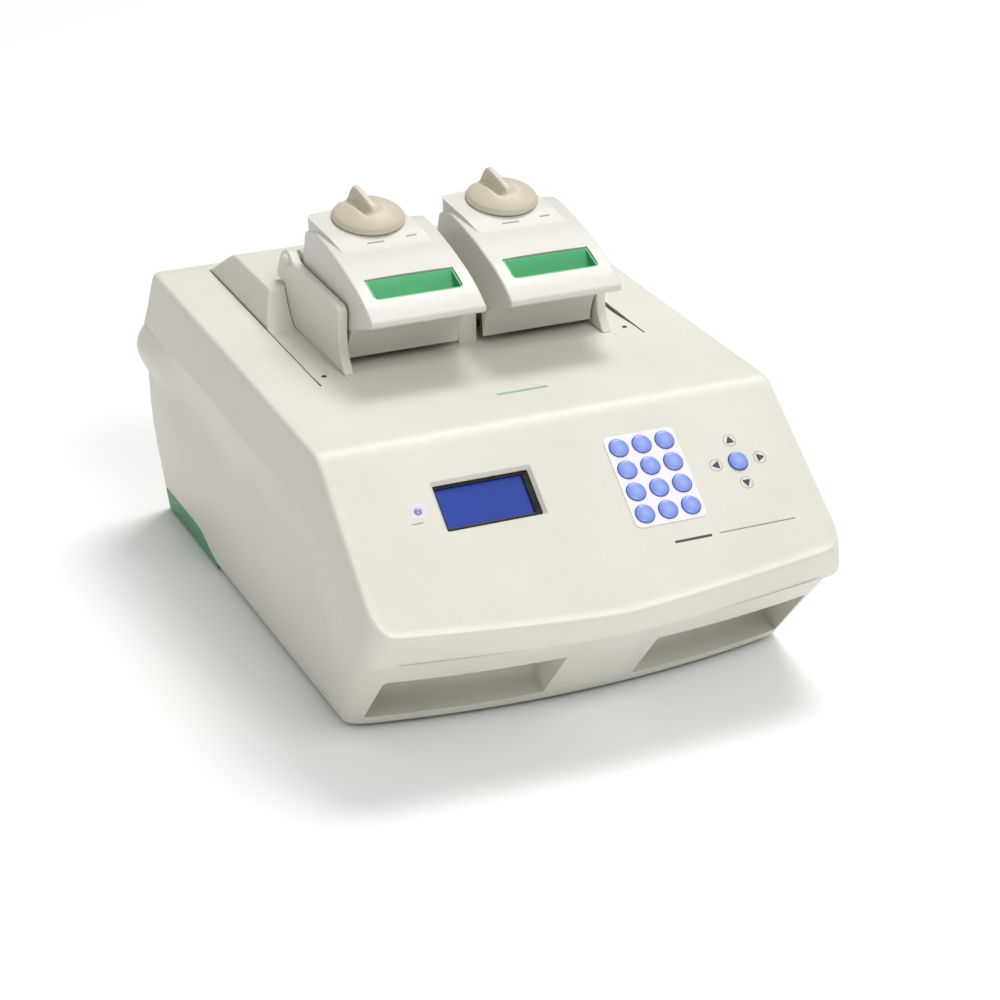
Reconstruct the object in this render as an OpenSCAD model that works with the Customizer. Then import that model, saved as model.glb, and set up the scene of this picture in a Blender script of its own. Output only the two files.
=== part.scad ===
// Bench thermal cycler with two hinged lids over two 48-well blocks.
// Frame: +X to the operator's right, +Y to the back, +Z up, z = 0 on the bench,
// x = 0 and y = 0 at the middle of the footprint.

/* [Body] */
// Width across the shoulder crease
body_w = 329; // [327:1:333]
// Depth from the front lip to the rear face
body_d = 460; // [458:1:462]
// Half width of the deck's flat top
deck_half_w = 155; // [154:0.5:156]
// Deck height at its front edge, where the operator panel starts
deck_front_z = 176; // [175:0.5:177]
// Deck height at the rear face
deck_rear_z = 186; // [185:0.5:187]
// Place of the deck's front edge
panel_top_y = -115; // [-116:0.5:-114]
// Slope of the operator panel
panel_angle = 38.2; // [37.8:0.1:38.6]
// Moulded wall thickness
wall = 3; // [2.6:0.1:3.2]
// Height of the shoulder crease at the rear
crease_z = 146; // [145:0.5:147]
// Radius of the front lip's bow in plan
lip_bow_r = 1046; // [1000:10:1100]
// Radius of the undercut front's bow at bench level
fascia_bow_r = 634; // [620:2:650]
// How far the undercut front leans out per unit of height
fascia_lean = 0.873; // [0.86:0.005:0.88]

/* [Front air inlets] */
// Inner end of each inlet
vent_in_x = 31; // [30:0.5:33]
// Outer end of each inlet
vent_out_x = 146; // [144:0.5:147]
// Sill height
vent_low_z = 17; // [16:0.5:18]
// Head height
vent_high_z = 55; // [54:0.5:56]

/* [Operator panel] */
// Pitch of the number keys
key_pitch = 16.1; // [16:0.05:16.2]
// Diameter of a round key
key_d = 12.6; // [12.2:0.1:12.8]
// Middle column of the keypad, across the panel
keypad_u = 52.3; // [52:0.1:53]
// First row of keys, down the slope
keypad_s = 33; // [32.5:0.1:33.5]
// Centre of the cursor keys, across the panel
cursor_u = 111.7; // [111:0.1:112]
// Centre of the cursor keys, down the slope
cursor_s = 57.3; // [57:0.1:58]
// Distance of the arrow keys from the middle key
cursor_r = 15.7; // [15.5:0.1:16]
// Display window width
lcd_w = 64; // [63:0.5:65]
// Display window height
lcd_h = 31.5; // [31:0.5:32]
// Display window centre, across the panel
lcd_u = -58.7; // [-59:0.1:-58]
// Display window centre, down the slope
lcd_s = 51; // [50.5:0.1:51.5]

/* [Reaction module] */
// Half width of the module surround
module_half_w = 117; // [116.5:0.25:117.5]
// Rear end of the module surround
module_rear_y = 216; // [215:0.5:217]
// Height of the surround's strips at their rear end, sunk below the deck
strip_z = 180.4; // [180:0.1:181]
// Top of the rear cowl
cowl_z = 205; // [204:0.5:206]
// Centre of each block and lid, left and right of the middle
lid_x = 48.6; // [48.5:0.05:48.8]
// Lid width
lid_w = 80; // [79.5:0.1:80.5]
// Lid hinge axis, depth
hinge_y = 100; // [99.5:0.25:100.5]
// Lid hinge axis, height
hinge_z = 226; // [225.5:0.25:226.5]
// Hinge pin radius
pin_r = 3; // [2.9:0.05:3.1]
// Well pitch
well_pitch = 9; // [8.8:0.1:9]
// Knob base radius
knob_r = 24.8; // [24:0.1:25]

/* [Hidden] */
$fn = 48;
back_y = body_d / 2;
front_y = -body_d / 2;
half_w = body_w / 2;
skin_rear_y = back_y - 8;
brow_y = front_y - 4;
far = 260;
eps = 0.01;
gap = 0.3;
deck_slope = (deck_rear_z - deck_front_z) / (back_y - panel_top_y);
lip_z = 74;
module_front_y = -16;
bay_front_y = 36;
bay_half_w = 96.8;
strip_mid = (bay_half_w + module_half_w) / 2;
strip_half = (module_half_w - bay_half_w) / 2;
cheek_x = 93.1;
cheek_half = 3.4;
floor_z = 180.3;
lamp_x = 108.8;
lamp_y = -1;
status_u = -105.8;
status_s = 50.5;
port_x = 123;
socket_x = -132;
sides = [-1, 1];
screw_places = [[-148, 160], [148, 160], [-148, 100], [148, 100], [-146, 14], [146, 14], [0, 172], [0, 14]];
key_names = ["key_1", "key_2", "key_3", "key_4", "key_5", "key_6", "key_7", "key_8", "key_9",
             "key_clear", "key_0", "key_point"];
key_travel = 1;
key_hole_r = key_d / 2 + 0.4;
wedge_slope = 0.215;
wedge_angle = atan(wedge_slope);
wedge_back_y = 82;
wedge_back_z = 262.4;
knob_dx = -1;
knob_y = 66;
knob_z = wedge_back_z - (wedge_back_y - knob_y) * wedge_slope;
shaft_r = 6;
knob_rest_turn = 11;
latch_y = 22;
latch_z = 236;
pocket_angle = 21;
pocket_y = -12;
pocket_z = 238;
pocket_w = 62;
pocket_l = 22;
scoop_half = 30.4;
block_w = 76;
block_l = 58;
block_y = 69;
block_top_z = 184;
plate_w = 72;
plate_l = 48;
plate_y = 66;
plate_z = 191;
fan_x = 62;
fan_z = 100;
fan_r = 37;
cream = [0.91, 0.90, 0.85];
white = [0.90, 0.90, 0.89];
green = [0.31, 0.65, 0.43];
tan = [0.78, 0.74, 0.66];
blue = [0.53, 0.61, 0.90];

function deck_z(y) = deck_front_z + (y - panel_top_y) * deck_slope;
function panel_z(y) = deck_front_z - (panel_top_y - y) * tan(panel_angle);

// A side outline in (y, z), drawn out along X between two places
module along_x(x0, x1, outline) {
    translate([x0, 0, 0])
        rotate([90, 0, 90])
            linear_extrude(x1 - x0)
                polygon(outline);
}

// A front outline in (x, z), drawn out along Y between two places
module along_y(y0, y1, outline) {
    translate([0, y1, 0])
        rotate([90, 0, 0])
            linear_extrude(y1 - y0)
                polygon(outline);
}

// A box from its low corner to its high corner
module box(low, high) {
    translate(low)
        cube(high - low);
}

// The operator panel's own frame: X across, -Y down the slope, Z out of the panel
module on_panel() {
    translate([0, panel_top_y, deck_front_z])
        rotate([panel_angle, 0, 0])
            children();
}

// The space in front of which the undercut fascia stops, inset by d
module fascia_cone(d) {
    low_r = fascia_bow_r - 20 * fascia_lean - d;
    translate([0, -165 + fascia_bow_r, -17])
        cylinder(h = 180, r1 = low_r, r2 = low_r + 180 * fascia_lean, $fn = 128);
}

// The full-height side walls below the crease, inset by d, between two places
module wall_prism(y0, y1, d) {
    along_y(y0, y1, [[-half_w + 1 + d, crease_z + 60], [-half_w + 1 + d, 90], [-160 + d, 50],
                     [-157 + d, 25], [-154.5 + d, 0], [154.5 - d, 0], [157 - d, 25], [160 - d, 50],
                     [half_w - 1 - d, 90], [half_w - 1 - d, crease_z + 60]]);
}

// The flared side walls of the cover, inset by d
module cover_prism(y0, y1, d) {
    along_y(y0, y1, [[-deck_half_w + d, deck_rear_z + 1], [-half_w + d, crease_z], [-half_w + d, 50],
                     [half_w - d, 50], [half_w - d, crease_z], [deck_half_w - d, deck_rear_z + 1]]);
}

module lip_cylinder(d) {
    translate([0, front_y + lip_bow_r, 0])
        cylinder(h = deck_rear_z + 20, r = lip_bow_r - d, $fn = 128);
}

module cover_hull() {
    intersection() {
        along_x(-half_w, half_w, [[brow_y, panel_z(brow_y)], [panel_top_y, deck_front_z],
            [skin_rear_y, deck_z(skin_rear_y)], [skin_rear_y, crease_z], [60, crease_z], [-95, 139],
            [-125, 131], [-150, 115], [-190, 80], [-206, lip_z], [brow_y, lip_z]]);
        cover_prism(-far, skin_rear_y, 0);
        lip_cylinder(0);
    }
}

module cover_hollow() {
    intersection() {
        along_x(-half_w, half_w, [[brow_y, panel_z(brow_y) - wall / cos(panel_angle)],
            [panel_top_y, deck_front_z - wall * 1.25], [far, deck_z(far) - wall], [far, 40], [brow_y, 40]]);
        cover_prism(-far, far, wall);
        lip_cylinder(wall);
    }
}

module keypad_holes(r, low, high) {
    for (row = [0 : 3]) {
        for (column = [-1 : 1]) {
            translate([keypad_u + column * key_pitch, -keypad_s - row * key_pitch, low])
                cylinder(h = high - low, r = r);
        }
    }
}

module cursor_holes(low, high) {
    translate([cursor_u, -cursor_s, low])
        cylinder(h = high - low, r = key_hole_r);
    for (turn = [0 : 90 : 270]) {
        translate([cursor_u, -cursor_s, low])
            rotate([0, 0, turn])
                translate([cursor_r, 0, 0])
                    cylinder(h = high - low, r = 4.6);
    }
}

module top_cover() {
    color(cream)
        difference() {
            cover_hull();
            cover_hollow();
            for (side = sides)
                box([side * strip_mid - strip_half, module_front_y, 150],
                    [side * strip_mid + strip_half, module_rear_y, 200]);
            box([-bay_half_w - eps, bay_front_y, 150], [bay_half_w + eps, module_rear_y, 200]);
            on_panel()
                translate([lcd_u - lcd_w / 2, -lcd_s - lcd_h / 2, -10])
                    cube([lcd_w, lcd_h, 20]);
            on_panel()
                keypad_holes(key_hole_r, -10, 10);
            on_panel()
                cursor_holes(-10, 10);
            on_panel()
                translate([status_u, -status_s, -10])
                    cylinder(h = 20, r = 3);
        }
}

// Side outline below the crease line, with its foot line raised over the green wings
housing_outline = [[-far, lip_z], [-206, lip_z], [-190, 80], [-150, 115], [-125, 131], [-95, 139],
                   [60, crease_z], [skin_rear_y, crease_z], [skin_rear_y, 19.5], [150, 19.5], [132, 14],
                   [110, 3], [-far, 3]];
wing_outline = [[110, 3], [132, 14], [150, 19.5], [skin_rear_y, 19.5], [skin_rear_y, 3]];

module vent_mouth(side, grow) {
    x0 = side * (side > 0 ? vent_in_x - grow : vent_out_x + grow);
    x1 = side * (side > 0 ? vent_out_x + grow : vent_in_x - grow);
    box([x0, -far, vent_low_z - grow], [x1, -122, vent_high_z + grow]);
}

module lower_housing() {
    color(cream)
        difference() {
            intersection() {
                along_x(-half_w, half_w, housing_outline);
                wall_prism(-far, skin_rear_y, 0);
                fascia_cone(0);
            }
            intersection() {
                box([-far, -far, -1], [far, far, 200]);
                wall_prism(-far, far, wall);
                fascia_cone(wall * 1.3);
            }
            for (side = sides)
                vent_mouth(side, 0);
        }
}

module base_tray() {
    color([0.31, 0.51, 0.37]) {
        difference() {
            intersection() {
                along_x(-half_w, half_w, wing_outline);
                wall_prism(0, skin_rear_y, 0);
            }
            wall_prism(-far, far, wall);
        }
        intersection() {
            box([-149, -far, 3], [149, skin_rear_y, 6]);
            fascia_cone(wall * 1.3 + gap);
        }
        intersection() {
            box([-far, 134, 3], [far, skin_rear_y, 6]);
            wall_prism(0, skin_rear_y, 0);
        }
    }
}

module feet() {
    color([0.12, 0.12, 0.12])
        for (side = sides)
            for (y = [-108, 128])
                translate([side * 134, y, 0])
                    cylinder(h = 3, r = 9);
}

module vent_scoops() {
    color(cream)
        for (side = sides)
            difference() {
                intersection() {
                    vent_mouth(side, 2.4);
                    fascia_cone(wall * 1.3 + gap);
                }
                vent_mouth(side, 0);
                box([side * 88 - 70, -122.01, 0], [side * 88 + 70, -100, 80]);
            }
}

module vent_filters() {
    color([0.25, 0.25, 0.24])
        for (side = sides)
            difference() {
                box([side * 88.5 - 60, -121.8, vent_low_z - 2], [side * 88.5 + 60, -119.8, vent_high_z + 2]);
                for (x = [-54 : 6 : 54])
                    box([side * 88.5 + x - 1.7, -125, vent_low_z + 2],
                        [side * 88.5 + x + 1.7, -115, vent_high_z - 2]);
            }
}

module lcd_bezel() {
    color([0.05, 0.05, 0.06])
        on_panel()
            translate([lcd_u, -lcd_s, -wall - 1.6 - gap])
                difference() {
                    translate([-lcd_w / 2 - 4, -lcd_h / 2 - 4, 0])
                        cube([lcd_w + 8, lcd_h + 8, 1.6]);
                    translate([-lcd_w / 2 + 2.2, -lcd_h / 2 + 2, -1])
                        cube([lcd_w - 6.4, lcd_h - 4, 4]);
                }
}

module lcd_screen() {
    color([0.16, 0.25, 0.57])
        on_panel()
            translate([lcd_u - lcd_w / 2 - 3, -lcd_s - lcd_h / 2 - 3, -wall - 6 - gap])
                cube([lcd_w + 6, lcd_h + 6, 4.3]);
}

module keypad_overlay() {
    color([0.93, 0.92, 0.93])
        on_panel()
            difference() {
                translate([keypad_u - 25, -keypad_s - 3 * key_pitch - 9, 0])
                    cube([50, 3 * key_pitch + 18, 0.4]);
                keypad_holes(key_hole_r, -1, 2);
            }
}

module keypad_board() {
    color([0.16, 0.36, 0.22])
        on_panel()
            translate([-96, -100, -14])
                cube([230, 86, 1.6]);
}

module status_lamp() {
    color([0.65, 0.62, 0.85])
        on_panel()
            translate([status_u, -status_s, -8]) {
                cylinder(h = 8.4, r = 2.6);
                cylinder(h = 3, r = 4);
            }
}

module block_lamps() {
    color([0.12, 0.14, 0.12])
        for (side = sides)
            translate([side * lamp_x, lamp_y, 175])
                cylinder(h = 5.2, r = 1.7);
}

// One keypad key: a cap with a chamfered crown, tapering under the panel skin to its stem
module round_key() {
    rotate_extrude()
        polygon([[0, -11], [2, -11], [key_d / 2, -wall - 3.5], [key_d / 2, 1], [key_d / 2 - 1.2, 1.8], [0, 1.8]]);
}

module keypad_key(row, column) {
    color(blue)
        on_panel()
            translate([keypad_u + (column - 1) * key_pitch, -keypad_s - row * key_pitch, 0])
                round_key();
}

module key_enter() {
    color(blue)
        on_panel()
            translate([cursor_u, -cursor_s, 0])
                round_key();
}

// A triangular cursor key that points away from the middle key
module arrow_key(turn) {
    color([0.30, 0.30, 0.36])
        on_panel()
            translate([cursor_u, -cursor_s, 0])
                rotate([0, 0, turn])
                    translate([cursor_r, 0, 0]) {
                        translate([0, 0, -wall - 2])
                            cylinder(h = wall + 2.8, r = 3.9, $fn = 3);
                        translate([0, 0, -wall - 3.4])
                            cylinder(h = 1.5, r = 5.2);
                        translate([0, 0, -11])
                            cylinder(h = 8, r = 1.6);
                    }
}

module rear_outline_plate() {
    along_y(skin_rear_y, back_y, [[-deck_half_w, deck_rear_z], [-half_w, crease_z], [-half_w + 1, 90],
        [-160, 50], [-157, 25], [-154.5, 3], [154.5, 3], [157, 25], [160, 50], [half_w - 1, 90],
        [half_w, crease_z], [deck_half_w, deck_rear_z]]);
    for (side = sides)
        translate([side * 152.5, skin_rear_y, 128])
            rotate([-90, 0, 0])
                cylinder(h = back_y - skin_rear_y, r = 15);
}

module rear_panel() {
    color(cream)
        difference() {
            rear_outline_plate();
            for (place = screw_places)
                translate([place[0], back_y - 1.8, place[1]])
                    rotate([-90, 0, 0])
                        cylinder(h = 4, r = 3.6);
            for (side = sides)
                for (k = [-5 : 5])
                    box([side * fan_x + k * 6.6 - 1.8, skin_rear_y - 1, fan_z - 34],
                        [side * fan_x + k * 6.6 + 1.8, back_y + 1, fan_z + 34]);
            box([socket_x - 14, skin_rear_y - 1, 34], [socket_x + 14, back_y + 1, 54]);
            box([socket_x - 10, skin_rear_y - 1, 66], [socket_x + 10, back_y + 1, 80]);
            box([port_x - 7, skin_rear_y - 1, 36], [port_x + 7, back_y + 1, 52]);
            box([port_x - 7, skin_rear_y - 1, 60], [port_x + 7, back_y + 1, 68]);
        }
}

module inlet_socket() {
    color([0.10, 0.10, 0.10])
        difference() {
            box([socket_x - 13.7, skin_rear_y - 18, 34.3], [socket_x + 13.7, back_y - 0.5, 53.7]);
            box([socket_x - 11.5, skin_rear_y - 6, 36.5], [socket_x + 11.5, back_y + 1, 51.5]);
        }
    color([0.80, 0.80, 0.78])
        for (place = [[-5, 41], [0, 45], [5, 41]])
            box([socket_x + place[0] - 0.8, skin_rear_y - 7, place[1]],
                [socket_x + place[0] + 0.8, back_y - 2, place[1] + 4]);
}

module power_rocker() {
    color([0.08, 0.08, 0.08])
        intersection() {
            box([socket_x - 9.6, skin_rear_y - 6, 67.9], [socket_x + 9.6, back_y + 4, 78.1]);
            translate([socket_x - 10, skin_rear_y - 3, 73])
                rotate([0, 90, 0])
                    cylinder(h = 20, r = 9.6);
        }
}

module usb_ports() {
    color([0.75, 0.76, 0.78])
        for (z = [[36.3, 51.7], [60.3, 67.7]])
            difference() {
                box([port_x - 6.7, skin_rear_y - 12, z[0]], [port_x + 6.7, back_y - 0.5, z[1]]);
                box([port_x - 5.7, skin_rear_y - 8, z[0] + 1], [port_x + 5.7, back_y + 1, z[1] - 1]);
            }
}

module panel_screws() {
    color([0.55, 0.56, 0.57])
        for (place = screw_places)
            translate([place[0], back_y - 1.8, place[1]])
                rotate([-90, 0, 0])
                    difference() {
                        cylinder(h = 1.6, r = 3.4);
                        translate([0, 0, 0.8])
                            cylinder(h = 2, r = 1.5, $fn = 6);
                    }
}

module main_board() {
    color([0.14, 0.36, 0.22]) {
        box([10, -95, 12], [140, 10, 13.6]);
        for (place = [[40, -60], [90, -70], [110, -20]])
            box([place[0] - 9, place[1] - 9, 13.6], [place[0] + 9, place[1] + 9, 17]);
        for (x = [24 : 16 : 72])
            translate([x, -8, 13.6])
                cylinder(h = 14, r = 5);
    }
    color([0.6, 0.6, 0.6])
        for (place = [[16, -89], [134, -89], [16, 4], [134, 4]])
            translate([place[0], place[1], 6])
                cylinder(h = 6, r = 3);
}

module power_supply() {
    color([0.70, 0.71, 0.72])
        difference() {
            box([-140, -95, 6], [-10, 60, 60]);
            for (k = [0 : 13])
                box([-130 + k * 9, -96, 20], [-126 + k * 9, -90, 48]);
        }
}

module heat_sink() {
    color([0.75, 0.76, 0.78]) {
        box([-92, 40, 158], [92, 98, 168]);
        for (k = [-22 : 22])
            box([k * 4 - 0.6, 42, 108], [k * 4 + 0.6, 96, 158]);
    }
}

module peltier_layer() {
    color([0.88, 0.88, 0.84])
        for (side = sides)
            for (y = [55, 83])
                box([side * lid_x - 34, y - 13, 168], [side * lid_x + 34, y + 13, 171]);
}

module module_duct() {
    color([0.30, 0.31, 0.31])
        difference() {
            box([-96, 37, 100], [96, 197, 172]);
            box([-94, 36, 102], [94, 198, 170]);
            box([-93, 36, 160], [93, 102, 180]);
        }
}

module sample_block(side) {
    color([0.80, 0.80, 0.78])
        difference() {
            union() {
                box([side * lid_x - block_w / 2, block_y - block_l / 2, 171],
                    [side * lid_x + block_w / 2, block_y + block_l / 2, 177]);
                box([side * lid_x - block_w / 2 + 1, block_y - block_l / 2 + 1, 177],
                    [side * lid_x + block_w / 2 - 1, block_y + block_l / 2 - 1, block_top_z]);
            }
            for (column = [0 : 7])
                for (row = [0 : 5])
                    translate([side * lid_x + (column - 3.5) * well_pitch,
                               block_y + (row - 2.5) * well_pitch, 172])
                        cylinder(h = block_top_z - 172 + eps, r1 = 1.6, r2 = 3.2);
        }
}

// Flat strips either side of the lids and the floor round the blocks
module module_surround() {
    color(cream)
        difference() {
            union() {
                for (side = sides)
                    difference() {
                        along_x(side * strip_mid - strip_half + 0.2, side * strip_mid + strip_half - 0.2,
                                [[module_front_y + gap, 172],
                                 [module_front_y + gap, deck_z(module_front_y) + 0.1],
                                 [105.5, strip_z], [105.5, 172]]);
                        translate([side * lamp_x, lamp_y, 160])
                            cylinder(h = 40, r = 1.75);
                    }
                box([-bay_half_w - 1, bay_front_y + gap, 174], [bay_half_w + 1, 105.5, floor_z]);
            }
            for (side = sides)
                box([side * lid_x - block_w / 2 - gap, block_y - block_l / 2 - gap, 165],
                    [side * lid_x + block_w / 2 + gap, block_y + block_l / 2 + gap, 190]);
        }
}

module module_cowl() {
    color(cream)
        difference() {
            intersection() {
                along_x(-far, far, [[106, 174], [107, cowl_z - 2], [110, cowl_z - 0.6], [186, cowl_z + 1],
                    [213, 188], [module_rear_y - 0.3, 174]]);
                along_y(0, far, [[-module_half_w + gap, 174], [-module_half_w + gap, strip_z],
                    [-108, cowl_z + 1], [108, cowl_z + 1], [module_half_w - gap, strip_z],
                    [module_half_w - gap, 174]]);
            }
            along_x(-104, 104, [[110, 173], [110, cowl_z - 4], [184, cowl_z - 2.6], [209, 186], [212, 173]]);
        }
}

cheek_outline = [[-6.4, deck_z(-6.4) + 0.05], [-1.6, 184.6], [3.6, 190.6], [3.5, 205], [1.9, 219], [7, 223.5],
                 [66, 225.5], [88, 226.5], [101, 232.5], [113, 229], [124, 212], [124, 207.6], [106, 207.6],
                 [105.7, 200], [100, 190], [97, floor_z], [bay_front_y + gap, floor_z],
                 [bay_front_y, deck_z(bay_front_y) + 0.05]];

module module_cheeks() {
    color(cream)
        difference() {
            union() {
                for (side = sides)
                    along_x(side * cheek_x - cheek_half, side * cheek_x + cheek_half, cheek_outline);
                along_x(-6.6, 6.6, [[37, floor_z], [37, deck_z(37) + 0.05], [16, deck_z(16) + 0.05], [16, 200],
                    [20, 208], [30, 212], [40, 214], [92, 214], [92, 233], [108, 233], [112, 208], [105.5, 204],
                    [105.5, floor_z]]);
            }
            translate([-far, hinge_y, hinge_z])
                rotate([0, 90, 0])
                    cylinder(h = 2 * far, r = pin_r);
        }
}

module hinge_pins() {
    color([0.72, 0.73, 0.74])
        for (side = sides) {
            translate([side > 0 ? 1 : -98, hinge_y, hinge_z])
                rotate([0, 90, 0])
                    cylinder(h = 97, r = pin_r);
            translate([side * (cheek_x + cheek_half), hinge_y, hinge_z])
                rotate([0, side * 90, 0])
                    intersection() {
                        sphere(r = pin_r * 1.5);
                        cylinder(h = pin_r * 2, r = pin_r * 2);
                    }
        }
}

module catch_bars() {
    color([0.72, 0.73, 0.74])
        for (side = sides)
            for (x = [-27, 27])
                difference() {
                    box([side * lid_x + x - 5, 24, deck_z(35)], [side * lid_x + x + 5, 34, 194]);
                    box([side * lid_x + x - 3.5, 20, 184], [side * lid_x + x + 3.5, 40, 190]);
                }
}

lid_outline = [[90, 203], [90, 232], [84.5, 249.5], [66, 255.4], [40, 251.5], [20, 247.5], [-10, 239],
               [-26, 232], [-38, 224], [-38, 221], [-36, 219.5], [12, 203]];
lid_inside = [[87.4, 190], [87.4, 231.5], [82.3, 247], [66, 252.6], [40, 248.8], [20, 244.9], [-10, 236.3],
              [-24.5, 229.8], [-33.5, 223.6], [-35, 221.8], [14.5, 204.8], [14.5, 190]];

// The raised top under the knob, seen from above: full width at the left, rounded behind the knob at the right
wedge_plan = [[-32, 29], [-38.6, 70], [-39.4, 74], [-38.6, 80.5], [-14, 83.8], [8, 83.6], [17, 79], [23, 71],
              [26.5, 61], [27.6, 55], [31, 29]];

module wedge() {
    intersection() {
        along_x(-40, 40, [[84.5, 247], [84.5, wedge_back_z + 0.5], [wedge_back_y, wedge_back_z], [45, 254.4],
            [28, 249.5], [28, 247.2], [66, 253.2]]);
        linear_extrude(300)
            polygon(wedge_plan);
    }
}

module pocket_frame() {
    translate([0, pocket_y, pocket_z])
        rotate([pocket_angle, 0, 0])
            children();
}

module knob_axis() {
    translate([knob_dx, knob_y, knob_z])
        rotate([wedge_angle, 0, 0])
            children();
}

// The curved skirt that hangs from the underside of the lid's front and hides the latch arms
lid_skirt = [[-3, 208.2], [2, 204.5], [6, 199], [8.5, 193], [9.8, 188], [10.3, 184.4], [12, 184.4], [12.6, 196],
             [13.4, 204.5]];

module lid_shell(side) {
    color(white)
        translate([side * lid_x, 0, 0])
            difference() {
                union() {
                    difference() {
                        along_x(-lid_w / 2, lid_w / 2, lid_outline);
                        along_x(-lid_w / 2 + 2.5, lid_w / 2 - 2.5, lid_inside);
                    }
                    along_x(-lid_w / 2 + 0.5, lid_w / 2 - 0.5, lid_skirt);
                    wedge();
                    for (x = [-30, 0, 30])
                        translate([x - 9, hinge_y, hinge_z])
                            rotate([0, 90, 0])
                                cylinder(h = 18, r = 6);
                    for (x = [-30, 0, 30])
                        box([x - 9, 88.5, hinge_z - 6], [x + 9, hinge_y, hinge_z + 6]);
                }
                pocket_frame()
                    box([-pocket_w / 2, -pocket_l / 2, -16], [pocket_w / 2, pocket_l / 2, 20]);
                translate([-far, hinge_y, hinge_z])
                    rotate([0, 90, 0])
                        cylinder(h = 2 * far, r = pin_r + 0.05);
                knob_axis()
                    translate([0, 0, -30])
                        cylinder(h = 60, r = shaft_r + 0.05);
                translate([-lid_w / 2 + 1, latch_y, latch_z])
                    rotate([0, 90, 0])
                        cylinder(h = lid_w - 2, r = 3.05);
                for (x = [-27, 27])
                    box([x - 3.2, 12.8, 200], [x + 3.2, 18, 211]);
            }
}

module lid_liner(side) {
    color([0.86, 0.86, 0.84])
        translate([side * lid_x, 0, 0])
            difference() {
                box([-37.2, 37.6, 195], [37.2, 87, 213]);
                box([-36.6, 41, 194], [36.6, 86.4, 210.5]);
                box([-12, 48, 200], [12, 80, 220]);
            }
}

// A scoop behind the lid's opening, on two hooked arms and a pivot rod
module latch(side) {
    color(green)
        translate([side * lid_x, 0, 0]) {
            pocket_frame()
                difference() {
                    box([-scoop_half, -10.4, -16.5], [scoop_half, 9.5, -0.6]);
                    along_x(-scoop_half + 1.6, scoop_half - 1.6,
                        [[-8.8, -15], [-8.8, 5], [12, 5], [9, -1.2]]);
                }
            for (x = [-27, 27]) {
                box([x - 2.4, -1, 229], [x + 2.4, 25, 236]);
                box([x - 2.4, 17, 186], [x + 2.4, 22, 236]);
                box([x - 2.4, 17, 186], [x + 2.4, 27, 189.4]);
            }
            translate([-lid_w / 2 + 1.3, latch_y, latch_z])
                rotate([0, 90, 0])
                    cylinder(h = lid_w - 2.6, r = 3);
        }
}

module knob(side) {
    color(tan)
        translate([side * lid_x, 0, 0])
            knob_axis() {
                translate([0, 0, gap])
                    cylinder(h = 2, r = knob_r);
                translate([0, 0, gap + 2])
                    cylinder(h = 9, r1 = knob_r, r2 = 8);
                rotate([0, 0, knob_rest_turn])
                    along_x(-3, 3, [[-14, 3], [-12, 11.4], [-9, 13], [17, 16.3], [19.4, 15.6], [23, 2]]);
                translate([0, 0, -24])
                    cylinder(h = 26, r = shaft_r);
            }
}

module heated_plate(side) {
    color([0.62, 0.63, 0.64])
        translate([side * lid_x, 0, 0]) {
            box([-plate_w / 2, plate_y - 23.5, plate_z], [plate_w / 2, plate_y + 19.5, plate_z + 5]);
            box([-30, plate_y - 20, plate_z + 5], [30, plate_y + 16, plate_z + 10]);
            box([-8, plate_y - 14, plate_z + 10], [8, plate_y + 10, plate_z + 24]);
        }
}

module fan_frames() {
    color([0.13, 0.13, 0.13])
        for (side = sides)
            translate([side * fan_x, 197.5, fan_z])
                rotate([-90, 0, 0]) {
                    cylinder(h = 20, r = 2);
                    difference() {
                        translate([-40, -40, 0])
                            cube([80, 80, 24]);
                        translate([0, 0, 3])
                            cylinder(h = 40, r = fan_r + 0.8);
                        difference() {
                            translate([0, 0, -1])
                                cylinder(h = 10, r = fan_r - 2);
                            translate([0, 0, -2])
                                cylinder(h = 12, r = 15);
                            for (turn = [0 : 90 : 270])
                                rotate([0, 0, turn])
                                    translate([0, -2, -2])
                                        cube([fan_r + 4, 4, 12]);
                        }
                    }
                }
}

module fan_rotor(side) {
    color([0.20, 0.20, 0.21])
        translate([side * fan_x, 203, fan_z])
            rotate([-90, 0, 0]) {
                difference() {
                    cylinder(h = 16, r = 15);
                    translate([0, 0, -1])
                        cylinder(h = 16, r = 2.05);
                }
                intersection() {
                    cylinder(h = 15, r = fan_r - 1);
                    for (turn = [0 : 360 / 7 : 350])
                        rotate([0, 0, turn])
                            translate([12, 0, 7.5])
                                rotate([38, 0, 0])
                                    translate([0, -0.7, -8])
                                        cube([30, 1.4, 16]);
                }
            }
}

base_tray();
lower_housing();
top_cover();
rear_panel();
feet();
vent_scoops();
vent_filters();
lcd_bezel();
lcd_screen();
keypad_overlay();
keypad_board();
status_lamp();
block_lamps();
main_board();
power_supply();
heat_sink();
peltier_layer();
fan_frames();
inlet_socket();
usb_ports();
panel_screws();
module_surround();
module_cowl();
module_cheeks();
module_duct();
hinge_pins();
catch_bars();
sample_block(-1);  // sample_block_left
sample_block(1);  // sample_block_right
fan_rotor(-1);  // fan_rotor_left
fan_rotor(1);  // fan_rotor_right
power_rocker();
for (k = [0 : 11])
    keypad_key(floor(k / 3), k % 3);
key_enter();
arrow_key(0);  // arrow_right
arrow_key(90);  // arrow_up
arrow_key(180);  // arrow_left
arrow_key(270);  // arrow_down
lid_shell(-1);  // lid_shell_left
lid_shell(1);  // lid_shell_right
lid_liner(-1);  // lid_liner_left
lid_liner(1);  // lid_liner_right
latch(-1);  // latch_left
latch(1);  // latch_right
knob(-1);  // knob_left
knob(1);  // knob_right
heated_plate(-1);  // heated_plate_left
heated_plate(1);  // heated_plate_right
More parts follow.
